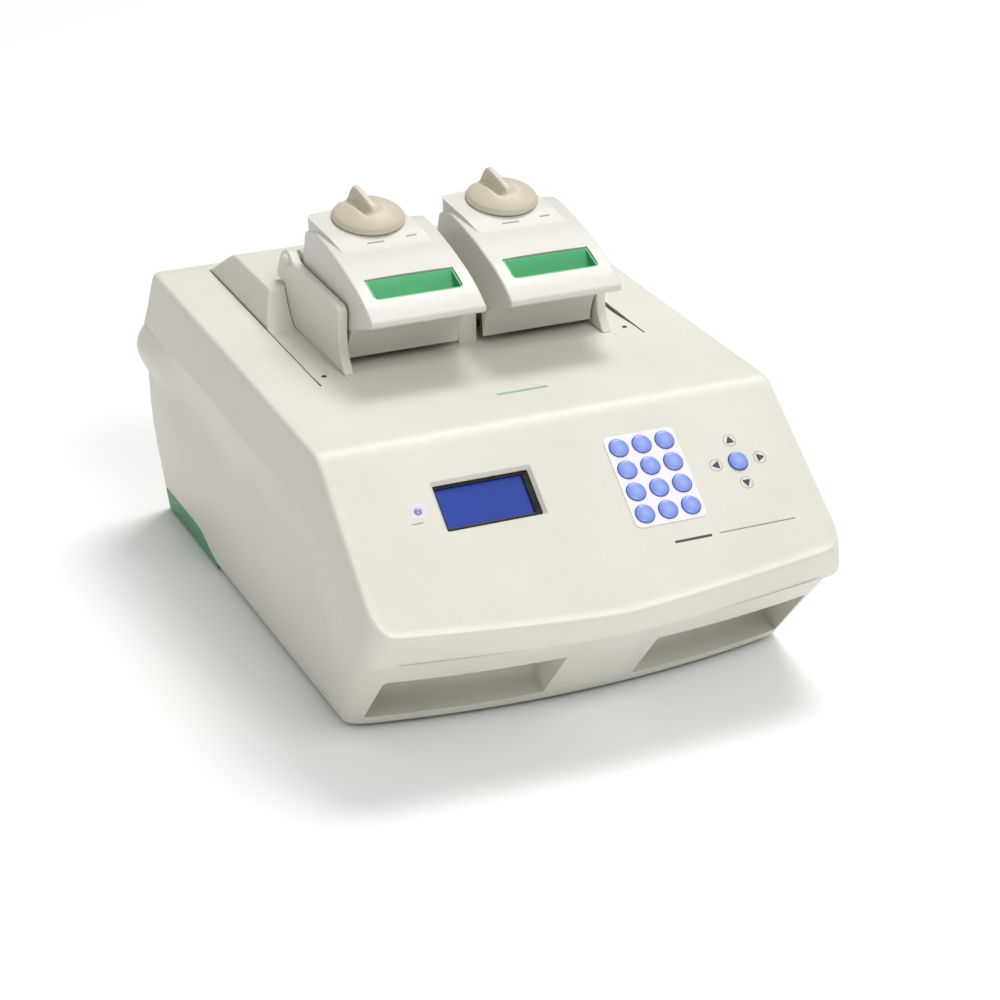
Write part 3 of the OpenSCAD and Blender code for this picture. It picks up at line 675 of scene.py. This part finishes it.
def make_housing():
    fractions = span(0, 1, 44) + [1 + k / 9 for k in range(1, 10)] + [2 + k / 40 for k in range(1, 41)]
    levels = [0, 0.006, 0.02, 0.035, 0.045, 0.05, 0.055, 0.06, 0.07] + span(0.1, 1, 26)
    shape = Shape()

    def column(f, sign):
        z_top = 80.0
        for _ in range(12):
            y = housing_point(f, z_top)[1]
            z_top = max(soft_table(CREASE, y), LIP_Z + 0.5) + 1.2
        low = 3.0
        if f < 1:
            y0 = lerp(SKIN_Y, -134, f)
            low = lerp(19.3, 3.0, ease((152 - y0) / 42)) if y0 < 152 else 19.3
        outer = []
        for t in levels:
            z = lerp(low, z_top, t)
            x, y = housing_point(f, z)
            tuck = 1.4 * max(0.0, 1 - (z - low) / 1.4) ** 2 if low < 3.1 else 0.0
            groove = 0.9 * max(0.0, 1 - abs(z - 8.2) / 0.55)
            inset = tuck + ease((f - 0.82) / 0.06) * (1 - ease((f - 2.2) / 0.1)) * groove
            if f <= 1:
                x -= inset
            elif f >= 2:
                y += inset
            else:
                x, y = x - inset * (2 - f), y + inset * (f - 1)
            outer.append((sign * x, y, z))
        inner = []
        for z in (z_top, low):
            x, y = housing_point(f, z)
            back = -122.3
            if f <= 1 and y > back:
                inner.append((sign * (min(x, 157) - 3.6), y, z))
            else:
                inner.append((sign * (min(x, 155.5) - (3.6 if f <= 2 else 0)), back, z))
        return outer + inner

    rows = [shape.row(column(f, 1)) for f in fractions]
    rows += [shape.row(column(f, -1)) for f in reversed(fractions[:-1])]
    for a, b in zip(rows, rows[1:]):
        shape.bridge(a, b, True)
    shape.faces.append(tuple(rows[0]))
    shape.faces.append(tuple(reversed(rows[-1])))
    piece = make("housing_shell", shape, CREAM, weld=0.001)
    cutters = []
    for side in (-1, 1):
        shape = Shape()
        loops = []
        for x, top in INLET_TOP:
            y_b = -157 + (x - 31) * 24 / 115
            loops.append([(side * x, y, z) for y, z in (
                (-250, top), (-250, 11.5), (y_b - 19, 12.4), (y_b - 12, 13.7), (y_b - 5, 16.4),
                (y_b - 1.6, 18.9), (y_b, 21.8), (y_b, 35), (y_b + 0.6, 36.8), (y_b + 2.2, 38), (-127, 38.4),
                (-127, top))])
        shape.loft(loops)
        cutters.append(make("cutter", shape))
        x0, x1 = sorted((side * 33, side * 144))
        cutters.append(block(x0, -130, 38.6, x1, -118, 54.4))
    carve(piece, cutters)
    bevel(piece, 1.1, 3, 42)
    shade(piece, 34)
    place(piece, "chassis", "cream", "lower_housing", "vent_scoops")


make_housing()


# ---------------------------------------------------------------- rear panel, tray and feet
def rear_outline():
    """The outline of the rear panel, right half from the bottom up."""
    levels = [3, 6, 14, 25, 40, 55, 70, 90, 106] + list(range(112, 146, 3)) + [147.5]
    right = [(wall_x(SKIN_Y, z), z) for z in levels]
    right += [(CREASE_X, 148), (160.5, 162), (156.0, 180.5), (155.0, 183.2), (152.9, 185.2), (149.6, 185.9)]
    return right + [(-x, z) for x, z in reversed(right)]


def rounded_plate(outline, y0, y1, r, centre_z=95.0, steps=4):
    shape = Shape()
    loops = [[(x, y0, z) for x, z in outline]]
    for k in range(steps + 1):
        a = math.radians(90 * k / steps)
        inset = r * (1 - math.cos(a))
        scale_x, scale_z = 1 - inset / 163, 1 - inset / 92
        y = y1 - r + r * math.sin(a)
        loops.append([(x * scale_x, y, centre_z + (z - centre_z) * scale_z) for x, z in outline])
    shape.loft(loops)
    return shape


def make_rear():
    piece = make("rear_cover", rounded_plate(rear_outline(), SKIN_Y - 0.02, BACK_Y, 3.2), CREAM)
    cutters = []
    for side in (-1, 1):
        for k in range(-5, 6):
            slot = [(x + side * 62 + k * 6.6, z + 100) for x, z in round_rect(3.6, 68, 1.79, 5)]
            cutters.append(prism(slot, 200, 240, "y"))
    for cx, cz, w, h in ((-132, 44, 28, 20), (-132, 73, 20, 14), (123, 44, 14, 16), (123, 64, 14, 8)):
        cutters.append(prism([(x + cx, z + cz) for x, z in round_rect(w, h, 1.2, 4)], 200, 240, "y"))
    for x, z in ((-148, 160), (148, 160), (-148, 100), (148, 100), (-146, 14), (146, 14), (0, 172), (0, 14)):
        cutters.append(prism([(a + x, b + z) for a, b in flat_ring(3.6, 32)], BACK_Y - 1.8, 240, "y"))
    carve(piece, cutters)
    shade(piece, 34)
    place(piece, "chassis", "cream", "rear_panel")


FOOT_PROFILE = [(7.6, 0), (8.7, 0.4), (9.0, 1.0), (9.0, 2.2), (8.2, 3.0)]


def make_tray():
    outline = []
    for f in span(0, 1, 20) + [1 + k / 6 for k in range(1, 7)] + [2 + k / 20 for k in range(1, 21)]:
        x, y = housing_point(f, 3)
        outline.append((max(x - 4.4, 0), y + 4.6 if f > 1 else y))
    loop = outline + [(-x, y) for x, y in reversed(outline[:-1])]
    floor = prism(loop, 2.6, 5.8, name="base_floor", material=BASE_GREEN)
    bevel(floor, 0.6, 2, 50)
    shade(floor)
    place(floor, "chassis", "dark_green", "base_tray")
    for side, label in ((-1, "left"), (1, "right")):
        shape = Shape()
        rows = []
        ys = span(111, 150, 16) + span(155, 229.4, 14)
        for y in ys:
            top = lerp(3.2, 19.6, ease((y - 108) / 44) ** 0.9) if y < 152 else 19.6 + (y - 152) * -0.006
            shut = ease((229.6 - y) / 3.0)
            wide = [wall_x(min(y, SKIN_Y), z) + 0.75 for z in (2.2, 5, 10, 15, 20)]
            outer = []
            for t in (0, 0.06, 0.25, 0.5, 0.75, 0.9, 0.97, 1):
                z = lerp(1.2, top, t)
                x = lerp(wide[0], wide[-1], clamp((z - 2.2) / 17.8, 0, 1))
                edge = 0.8 * max(0.0, (t - 0.9) / 0.1) ** 2 + 0.6 * max(0.0, (0.06 - t) / 0.06)
                outer.append((side * (x - edge - 2.2 * (1 - shut)), y, z))
            outer.append((side * (wide[-1] - 4.2), y, top - 0.1))
            outer.append((side * (wide[0] - 4.0), y, 1.2))
            rows.append(shape.row(outer))
        for a, b in zip(rows, rows[1:]):
            shape.bridge(a, b, True)
        shape.faces.append(tuple(rows[0]))
        shape.faces.append(tuple(reversed(rows[-1])))
        wing = make("base_wing_" + label, shape, BASE_GREEN)
        shade(wing, 40)
        place(wing, "chassis", "dark_green")
    shape = Shape()
    for x in (-134, 134):
        for y in (-108, 128):
            shape.loft([ring(r, z, 32, x, y) for r, z in FOOT_PROFILE])
    feet = make("rubber_feet", shape, RUBBER)
    shade(feet, 50)
    place(feet, "chassis", "rubber", "feet")


make_rear()
make_tray()


# ---------------------------------------------------------------- the module: strips, cowl and cheeks
def strip_z(y):
    return deck_z(y) - 2.1 * ease((y + 14) / 52)


def soft_min(a, b, k):
    h = clamp(0.5 + 0.5 * (b - a) / k, 0, 1)
    return lerp(b, a, h) - k * h * (1 - h)


def cowl_z(y):
    """Height of the cowl along its middle: flat top, then a slope down to the deck behind."""
    top = 204.9 + (y - 107) * 0.012
    return soft_min(top, 205.9 - (y - 186) * 0.655, 5.0)


# dark grey for the strips in the module's side gaps: painted shade, not the colour of a real part
GAP_PAINTED_SHADE = finish("gap_painted_shade", srgb(84, 78, 66), rough=(0.6, 0.75), spread=0.06)


def make_module():
    def grid(xs, ys, height, low):
        shape = Shape()
        tops = [shape.row([(x, y, height(x, y)) for y in ys]) for x in xs]
        lows = [shape.row([(x, y, low) for y in ys]) for x in xs]
        for a, b in zip(tops, tops[1:]):
            shape.bridge(a, b)
        for a, b in zip(lows, lows[1:]):
            shape.bridge(b, a)
        shape.bridge(lows[0], tops[0])
        shape.bridge(tops[-1], lows[-1])
        shape.bridge([row[0] for row in tops], [row[0] for row in lows])
        shape.bridge([row[-1] for row in lows], [row[-1] for row in tops])
        return shape

    def side_height(x, y):
        base = strip_z(y)
        rise = base + (205 - base) * clamp((y - 84) / 22.5, 0, 1.6) ** 2.1 if y > 84 else base
        top = cowl_z(y)
        ridge = soft_min(rise, top, 3.0) if y > 84 else rise
        flank = lerp(base - 1.5, 208, clamp((116.9 - abs(x)) / 9.6, 0, 2))
        return max(base, soft_min(ridge, flank, 3.2)) if y > 84 else base

    ys = span(-15.97, 80, 18) + span(84, 108, 28) + span(110, 182, 16) + span(184, 190, 5) + span(193, 214, 9)
    columns = [97.0, 99, 101, 103, 104.5] + list(range(106, 115)) + [114.8, 115.3, 115.7]
    piece = None
    for side in (-1, 1):
        xs = sorted(side * x for x in columns)
        part = make("module_body", grid(xs, ys, side_height, 172.0), CREAM)
        if piece is None:
            piece = part
        else:
            carve(piece, [part], "UNION")
    outline = [(107.0, 173.0), (107.0, 203.4), (107.5, 204.5), (108.8, 204.93)]
    outline += [(y, cowl_z(y)) for y in ys if y > 109.5] + [(214.0, 173.0)]
    carve(piece, [prism(outline, -97.2, 97.2, "x"), block(-97.4, 36.4, 174.0, 97.4, 107.4, 180.3)], "UNION")
    cutters = [block(s * LID_X - 38.3, 39.7, 160, s * LID_X + 38.3, 98.3, 190) for s in (-1, 1)]
    cutters += [prism(flat_ring(1.85, 24, s * BLOCK_LAMP_X, -1), 150, 220) for s in (-1, 1)]
    carve(piece, cutters)
    shade(piece, 28)
    place(piece, "chassis", "cream", "module_surround", "module_cowl")
    # a dark strip lying in the gap along each side of the module: painted shade, standing in for the shadow
    # down in the gap
    tops = [(y, deck_z(y) - 0.4) for y in span(-15.6, 212, 8)]
    for side, label in ((-1, "left"), (1, "right")):
        x0, x1 = sorted((side * 116.95, side * 115.8))
        outline = tops + [(y, z - 3.0) for y, z in reversed(tops)]
        gap = prism(outline, x0, x1, "x", name="module_gap_painted_shade_" + label, material=GAP_PAINTED_SHADE)
        place(gap, "chassis", "dark")


CHEEK = [(-6.4, deck_z(-6.4) + 0.1), (-3.6, 182.6), (-0.4, 186.6), (2.3, 192.4), (3.5, 199), (3.4, 207),
         (2.4, 214), (1.7, 219.3), (3.0, 222.3), (7, 223.7), (30, 224.5), (66, 225.6), (84, 226.3),
         (91, 227.6), (96.5, 231.2), (101, 232.8), (106, 231.6), (112.6, 228.4), (117.5, 221), (122, 213.6),
         (123.4, 209.8), (122.4, 207.8), (107.2, 207.4), (106.0, 205), (105.6, 199.6), (103.4, 194.6),
         (100, 190), (97.6, 185), (97, 180.4), (36.6, 180.4), (36.2, deck_z(36) + 0.1)]


POST = [(37, 180.2), (37, deck_z(37) + 0.04), (16, deck_z(16) + 0.04), (16, 199), (16.8, 203), (19, 206.4),
        (24, 209.6), (32, 212.4), (41, 213.8), (90, 214), (91.6, 216), (92, 230), (94, 232.6), (106, 232.6),
        (108, 230), (111.6, 209), (110.5, 207.4), (105.5, 205), (105.5, 180.2)]


def make_cheeks():
    for side, label in ((-1, "left"), (1, "right")):
        x0, x1 = sorted((side * 89.7, side * 96.5))
        cheek = prism(CHEEK, x0, x1, "x", name="module_cheek_" + label, material=CREAM)
        bevel(cheek, 1.3, 4, 35)
        shade(cheek, 36)
        place(cheek, "chassis", "cream", *(["module_cheeks"] if side < 0 else []))
    post = prism(POST, -6.4, 6.4, "x", name="module_post", material=CREAM)
    bevel(post, 1.0, 3, 35)
    shade(post)
    place(post, "chassis", "cream")


make_module()
make_cheeks()


# ---------------------------------------------------------------- lids, latches and knobs
def rounded(points, radii, steps=4):
    """A closed outline with each corner rounded by its own radius."""
    out, n = [], len(points)
    for i, p in enumerate(points):
        p, before, after = Vector(p), Vector(points[i - 1]), Vector(points[(i + 1) % n])
        r = radii[i] if isinstance(radii, (list, tuple)) else radii
        back, on = (before - p), (after - p)
        r = min(r, back.length * 0.45, on.length * 0.45)
        if r < 0.05:
            out.append(tuple(p))
            continue
        a, b = p + back.normalized() * r, p + on.normalized() * r
        out += [(bezier(a.x, p.x, b.x, t), bezier(a.y, p.y, b.y, t)) for t in span(0, 1, steps)]
    return out


# lid outlines seen from the side: outer shell, hollow inside it, and the skirt under its front
LID = [(90, 203), (90, 232), (84.5, 249.8), (66, 255.5), (40, 251.5), (20, 247.5), (-10, 239), (-26, 232),
       (-38, 224.2), (-38.2, 221.2), (-36, 219.6), (12, 203)]
LID_RADII = [0, 6, 3.5, 7, 10, 10, 10, 8, 1.6, 1.2, 1.6, 5]
LID_IN = [(87.4, 190), (87.4, 231.5), (82.3, 247.0), (66, 252.6), (40, 248.8), (20, 244.9), (-10, 236.3),
          (-24.5, 229.8), (-33.5, 223.6), (-35, 221.8), (14.5, 204.8), (14.5, 190)]
LID_SKIRT = [(-3, 208.3), (-0.6, 206.6), (2, 204.5), (4.2, 202), (6, 199), (7.4, 196), (8.5, 193),
             (9.3, 190.4), (9.8, 188), (10.3, 184.4), (12, 184.4), (12.6, 196), (13.4, 204.5)]


def pocket_frame(x):
    return (Matrix.Translation((x * MM, POCKET[0] * MM, POCKET[1] * MM)) @ Matrix.Rotation(POCKET[2], 4, "X"))


def pocket_outline():
    """The pocket seen square on: sharp rear corners, rounded front corners, a slightly bowed rear edge."""
    w, half = 31.0, 11.0
    front = [(-w + 3.2, -half), (w - 3.2, -half)]
    points = [(-w, half - 0.7), (-w, -half + 3.2), (-w + 1.0, -half + 1.0)] + front
    points += [(w - 1.0, -half + 1.0), (w, -half + 3.2), (w, half - 0.7)]
    points += [(w * (1 - 2 * t), half - 0.7 + 0.7 * (1 - (1 - 2 * t) ** 2)) for t in span(0, 1, 12)[1:-1]]
    return points


# the raised wedge on a lid: its plan, and its top edge seen from the side
WEDGE_PLAN = [(-31.4, 22), (-38.6, 70), (-39.6, 76), (-38.8, 80.8), (-14, 84.0), (8, 83.8), (17, 79),
              (23, 71), (26.5, 61), (27.6, 54), (31.4, 22)]
WEDGE_RADII = [1.5, 6, 4, 3.0, 20, 10, 8, 8, 8, 8, 1.5]
WEDGE_TOP = [(86, 263.3), (82, 262.4), (64, 258.6), (50, 255.6), (44, 253.9), (38, 251.9), (32, 250.1),
             (26.5, 248.6), (22, 247.2)]


def make_lid(side, label):
    x = side * LID_X
    outer = prism(rounded(LID, LID_RADII), x - 40, x + 40, "x", name="lid_cover_" + label, material=WHITE)
    bevel(outer, 1.5, 4, 40)
    carve(outer, [prism(LID_IN, x - 37.4, x + 37.4, "x")])
    plan = rounded(WEDGE_PLAN, WEDGE_RADII, 5)
    wedge = prism([(x + u, y) for u, y in plan], 230, 290)
    sheath = [(86, 246.5)] + WEDGE_TOP + [(22, 246.2), (40, 249.6), (66, 252.9), (83, 246.5)]
    carve(wedge, [prism(sheath, x - 42, x + 42, "x")], "INTERSECT")
    bevel(wedge, 0.9, 3, 50)
    carve(outer, [wedge], "UNION")
    carve(outer, [prism(LID_SKIRT, x - 39.4, x + 39.4, "x")], "UNION")
    for dx in (-30, 0, 30):
        barrel = arc(*HINGE, 6, range(-90, 91, 12)) + [(88.4, HINGE[1] + 6), (88.4, HINGE[1] - 6)]
        carve(outer, [prism(barrel, x + dx - 9, x + dx + 9, "x")], "UNION")
    cutters = [prism(arc(*HINGE, 3.05, range(0, 360, 10)), x - 45, x + 45, "x")]
    cutters.append(prism(pocket_outline(), -11, 14, matrix=pocket_frame(x)))
    knob_hole = frame_at(x + KNOB_AT[0], KNOB_AT[1], KNOB_AT[2], math.degrees(WEDGE))
    cutters.append(prism(flat_ring(6.2, 32), -22, 6, matrix=knob_hole))
    for dx in (-27, 27):
        cutters.append(block(x + dx - 3.2, 12.8, 198, x + dx + 3.2, 18, 212))
    carve(outer, cutters)
    shade(outer, 30)
    place(outer, "lid_" + label, "white", "lid_shell_" + label)
    # a printed stripe in front of the knob and a small one beside it
    mark_frame = frame_at(x, 36, 251.83, math.degrees(math.atan(0.285)))
    for k, (u, v, w, h) in enumerate(((-7, 1.0, 12, 0.8), (19, 3.0, 7.5, 0.8))):
        mark = prism(round_rect(w, h, h / 2 - 0.01, 3, u, v), -0.6, 0.08, matrix=mark_frame,
                     name="lid_mark_%s_%d" % (label, k), material=LID_MARK)
        place(mark, "lid_" + label, "ink")


LATCH_ARM = [(-0.5, 229), (14.5, 228.2), (16.6, 226), (17, 220), (17, 188.4), (18.5, 186), (25.2, 186),
             (27, 187.2), (27, 189.2), (22.6, 189.4), (22, 190.4), (22, 231), (25.4, 233.4), (25.4, 237),
             (22, 239.2), (17, 238), (-0.5, 235.6)]


def make_latch(side, label):
    x = side * LID_X
    turn = pocket_frame(x)
    plan = rounded([(-30.4, 9.1), (-30.4, -10.4), (30.4, -10.4), (30.4, 9.1)], [0.3, 2.8, 2.8, 0.3])
    tub = prism(plan, -17.0, -0.9, matrix=turn, name="latch_scoop_" + label, material=GREEN)
    scoop = [(-9.3, -15.4), (-9.3, 8), (11, 8), (11, -0.8), (8.3, -1.2), (5.4, -3.4)]
    carve(tub, [prism(scoop, -29.4, 29.4, "x", matrix=turn)])
    bevel(tub, 0.35, 2, 30)
    shade(tub, 36)
    place(tub, "latch_" + label, "green", "latch_" + label)
    arms = None
    for dx in (-27, 27):
        arm = prism(LATCH_ARM, x + dx - 2.4, x + dx + 2.4, "x", name="latch_arms_" + label)
        bevel(arm, 0.5, 2, 40)
        if arms is None:
            arms = arm
        else:
            carve(arms, [arm], "UNION")
    rod = arc(22, 236, 3.0, range(0, 360, 15))
    carve(arms, [prism(rod, x - 36.8, x + 36.8, "x")], "UNION")
    arms.data.materials.clear()
    arms.data.materials.append(WHITE)
    shade(arms, 36)
    place(arms, "latch_" + label, "white")


KNOB_RIDGE = [(-25, 0.5), (-20, 2.0), (-15, 5.0), (-11, 9.6), (-7, 12.2), (0, 13.9), (9, 15.3), (15, 16.2),
              (17.6, 16.2), (19.4, 15.0), (21.0, 10.6), (22.8, 4.6), (24.4, 0.5)]
KNOB_WIDTH = [(-22, 8.0), (-14, 6.0), (-8, 4.8), (2, 4.2), (14, 3.9), (24, 3.8)]


def knob_height(a, b):
    """Height of the knob's top, a along its blade and b across it."""
    r = math.hypot(a, b)
    cone = 2.3 + 10.6 * (1 - min(r, 24.6) / 24.6) ** 0.58
    deep = 0.66 if b < 0 else 0.16
    scoop = 1.0 - deep * math.exp(-((abs(b) - 6.0) / 2.5) ** 2) * ease((a + 13) / 12)
    dome = 2.0 + (cone - 2.0) * scoop
    ridge = soft_table(KNOB_RIDGE, a, 1.4)
    fall = math.exp(-(abs(b) / table(KNOB_WIDTH, a)) ** 5.0)
    top = -soft_min(-dome, -ridge * fall, 1.0)
    return lerp(top, 2.0, ease((r - 23.4) / 1.4))


def make_knob(side, label):
    shape = Shape()
    n = 160
    radii = [24.75, 24.3, 23.6] + [23.6 * (1 - (k / 46) ** 1.05) for k in range(1, 46)]
    rows = [shape.row(ring(24.2, 0.35, n)), shape.row(ring(24.8, 0.9, n)), shape.row(ring(24.8, 1.6, n))]
    for r in radii:
        points = []
        for k in range(n):
            a = 2 * math.pi * k / n
            points.append((r * math.cos(a), r * math.sin(a), knob_height(r * math.sin(a), r * math.cos(a))))
        rows.append(shape.row(points))
    for a, b in zip(rows, rows[1:]):
        shape.bridge(a, b, True)
    centre = shape.row([(0, 0, knob_height(0, 0))])[0]
    for i in range(n):
        shape.face(centre, rows[-1][i], rows[-1][(i + 1) % n])
    low = shape.row(ring(6.0, 0.35, n))
    shaft = shape.row(ring(6.0, -24, n))
    shape.bridge(rows[0], low, True)
    shape.bridge(low, shaft, True)
    shape.faces.append(tuple(shaft))
    knob = make("force_knob_" + label, shape, TAN,
                frame_at(side * LID_X + KNOB_AT[0], KNOB_AT[1], KNOB_AT[2], math.degrees(WEDGE), 11))
    shade(knob, 50)
    place(knob, "knob_" + label, "tan", "knob_" + label)


LID_MARK = finish("lid_mark", srgb(186, 184, 176), rough=(0.45, 0.6), spread=0.04)
MARK_GREY = finish("mark_grey", srgb(150, 148, 140), rough=(0.45, 0.6), spread=0.06)
for sign, label in ((-1, "left"), (1, "right")):
    make_lid(sign, label)
    make_latch(sign, label)
    make_knob(sign, label)


# ---------------------------------------------------------------- the operator panel
def painted_dome_highlight(made, inner, outer, reach):
    """Colours a finish by distance from the piece's own centre line, lighter in the middle: a painted
    highlight on a domed top.
    """
    tree = made.node_tree
    shader = next(n for n in tree.nodes if n.type == "BSDF_PRINCIPLED")
    where = next(n for n in tree.nodes if n.type == "TEX_COORD")
    flat = node(tree, "ShaderNodeVectorMath", -700, 500, operation="MULTIPLY")
    flat.inputs[1].default_value = (1, 1, 0)
    tree.links.new(where.outputs["Object"], flat.inputs[0])
    size = node(tree, "ShaderNodeVectorMath", -500, 500, operation="LENGTH")
    tree.links.new(flat.outputs["Vector"], size.inputs[0])
    scale = node(tree, "ShaderNodeMapRange", -300, 500)
    scale.inputs["From Max"].default_value = reach
    tree.links.new(size.outputs["Value"], scale.inputs["Value"])
    ramp = node(tree, "ShaderNodeValToRGB", -100, 500)
    ramp.color_ramp.elements[0].color, ramp.color_ramp.elements[1].color = inner, outer
    ramp.color_ramp.elements[0].position, ramp.color_ramp.elements[1].position = 0.15, 0.95
    tree.links.new(scale.outputs["Result"], ramp.inputs["Fac"])
    mixed = next(n for n in tree.nodes if n.type == "MIX")
    tree.links.new(ramp.outputs["Color"], mixed.inputs[6])
    return made


# the blue keys get a painted highlight, lighter at the middle of each cap
painted_dome_highlight(BLUE, srgb(158, 178, 240), srgb(116, 140, 226), 0.0066)


def in_place(piece, matrix):
    """Stands a piece made round its own origin at its place."""
    piece.matrix_world = matrix
    bpy.context.view_layer.update()
    return piece


KEY_PROFILE = [(0, -7.2), (7.2, -7.2), (7.3, -7.0), (7.3, -5.8), (6.3, -5.6), (6.3, 0.9), (6.22, 1.2),
               (6.0, 1.42), (5.6, 1.55), (4.6, 1.72), (3.2, 1.88), (1.6, 1.97), (0, 2.0)]
ARROW_PROFILE = [(0, -6.5), (4.9, -6.5), (5.0, -6.3), (5.0, -5.2), (4.15, -5.0), (4.15, -0.1), (4.05, 0.08),
                 (3.7, 0.16), (0, 0.2)]
STATUS_PROFILE = [(0, -8), (4, -8), (4, -5), (2.6, -4.8), (2.6, 0.1), (2.4, 0.5), (1.6, 0.85), (0, 1.0)]
EYE_PROFILE = [(0, -6), (1.7, -6), (1.7, 0.15), (1.4, 0.5), (0.7, 0.75), (0, 0.8)]


def make_keys():
    names = ["key_%d" % k for k in range(1, 10)] + ["key_clear", "key_0", "key_point", "key_enter"]
    spots = key_spots() + [(MIDDLE_KEY[0], -MIDDLE_KEY[1])]
    for name, (u, v) in zip(names, spots):
        key = make("cap_" + name, turned(KEY_PROFILE, 48), BLUE)
        shade(key, 40)
        in_place(key, PANEL @ Matrix.Translation((u * MM, v * MM, 0)))
        place(key, name, "blue", name)
    for name, turn in (("arrow_right", 0), ("arrow_up", 90), ("arrow_left", 180), ("arrow_down", 270)):
        u, v = arrow_spot(turn)
        at = PANEL @ Matrix.Translation((u * MM, v * MM, 0))
        cap = make("cap_" + name, turned(ARROW_PROFILE, 40), CREAM)
        shade(cap, 40)
        in_place(cap, at)
        place(cap, name, "cream", name)
        tri = rounded([(3.2, 0), (-1.9, 2.9), (-1.9, -2.9)], 0.9)
        sign_piece = prism(tri, 0.0, 0.5, name="sign_" + name, material=INK)
        bevel(sign_piece, 0.15, 2, 40)
        shade(sign_piece, 50)
        in_place(sign_piece, at @ Matrix.Rotation(math.radians(turn), 4, "Z"))
        place(sign_piece, name, "ink")


def make_overlay():
    outline = round_rect(49.6, 66.4, 4.5, 8, KEYPAD_U, -57.15)
    film = prism(outline, 0.02, 0.55, matrix=PANEL, name="keypad_film", material=OVERLAY)
    bevel(film, 0.25, 2, 40)
    carve(film, [prism(flat_ring(KEY_HOLE_R, 40, *spot), -3, 3, matrix=PANEL) for spot in key_spots()])
    shade(film, 34)
    place(film, "chassis", "overlay", "keypad_overlay")


def make_display():
    cx, cy = DISPLAY
    frame_piece = prism(round_rect(73, 41, 1.5, 4, cx, cy), -5.0, -3.2, matrix=PANEL, name="display_frame",
                        material=BLACK)
    carve(frame_piece, [prism(round_rect(58.6, 28.0, 0.6, 3, cx - 1.5, cy + 0.1), -8, 0, matrix=PANEL)])
    bevel(frame_piece, 0.3, 2, 40)
    shade(frame_piece, 36)
    place(frame_piece, "chassis", "black", "lcd_bezel")
    glass = prism(round_rect(70, 37.6, 1.0, 4, cx, cy), -9.0, -5.15, matrix=PANEL, name="display_glass",
                  material=SCREEN)
    shade(glass, 36)
    place(glass, "chassis", "screen", "lcd_screen")


def make_marks():
    def flat_mark(name, w, h, u, s, material, slot_name, rise=0.12, r=None):
        outline = round_rect(w, h, h / 2 - 0.01 if r is None else r, 4, u, -s)
        mark = prism(outline, -0.2, rise, matrix=PANEL, name=name, material=material)
        place(mark, "chassis", slot_name)

    flat_mark("mark_bold", 26, 1.7, 61.5, 104.0, DARK_INK, "ink")
    flat_mark("mark_fine", 54, 0.8, 107.0, 103.6, MARK_GREY, "ink")
    flat_mark("lamp_line", 7.5, 0.6, -108.7, 58.6, MARK_GREY, "ink")
    flat_mark("lamp_patch", 10.4, 10.4, *LAMP_AT, PATCH, "overlay", rise=0.05, r=2.2)
    deck = frame_at(0, -74, deck_z(-74), math.degrees(math.atan(DECK_SLOPE)))
    outline = round_rect(36, 2.6, 1.29, 8)
    stripe = prism(outline, -0.2, 0.14, matrix=deck, name="deck_stripe", material=PALE_GREEN)
    place(stripe, "chassis", "green")
    lamp = make("status_lens", turned(STATUS_PROFILE, 32), LAMP)
    shade(lamp, 40)
    in_place(lamp, PANEL @ Matrix.Translation((LAMP_AT[0] * MM, -LAMP_AT[1] * MM, 0)))
    place(lamp, "chassis", "lamp", "status_lamp")
    for side, label in ((-1, "left"), (1, "right")):
        eye = make("block_lens_" + label, turned(EYE_PROFILE, 24), DARK)
        shade(eye, 40)
        in_place(eye, Matrix.Translation((side * BLOCK_LAMP_X * MM, -1 * MM, strip_z(-1) * MM)))
        place(eye, "chassis", "lens", *(["block_lamps"] if side < 0 else []))


PATCH = finish("lamp_patch", srgb(226, 220, 232), rough=(0.35, 0.45), spread=0.02)
make_keys()
make_overlay()
make_display()
make_marks()


# ---------------------------------------------------------------- finishes of the pieces kept from the frame
KEPT = {
    "vent_filters": DEEP, "keypad_board": BOARD, "main_board": BOARD, "power_supply": ALUMINIUM,
    "heat_sink": ALUMINIUM, "peltier_layer": CERAMIC, "fan_frames": DARK, "fan_rotor_left": DARK,
    "fan_rotor_right": DARK, "inlet_socket": BLACK, "usb_ports": STEEL, "panel_screws": STEEL,
    "module_duct": DARK, "hinge_pins": CREAM, "catch_bars": CREAM, "sample_block_left": BLOCK,
    "sample_block_right": BLOCK, "power_rocker": BLACK, "lid_liner_left": WHITE, "lid_liner_right": WHITE,
    "heated_plate_left": ALUMINIUM, "heated_plate_right": ALUMINIUM,
}
for name, material in KEPT.items():
    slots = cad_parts[name].data.materials
    slots.clear()
    slots.append(material)
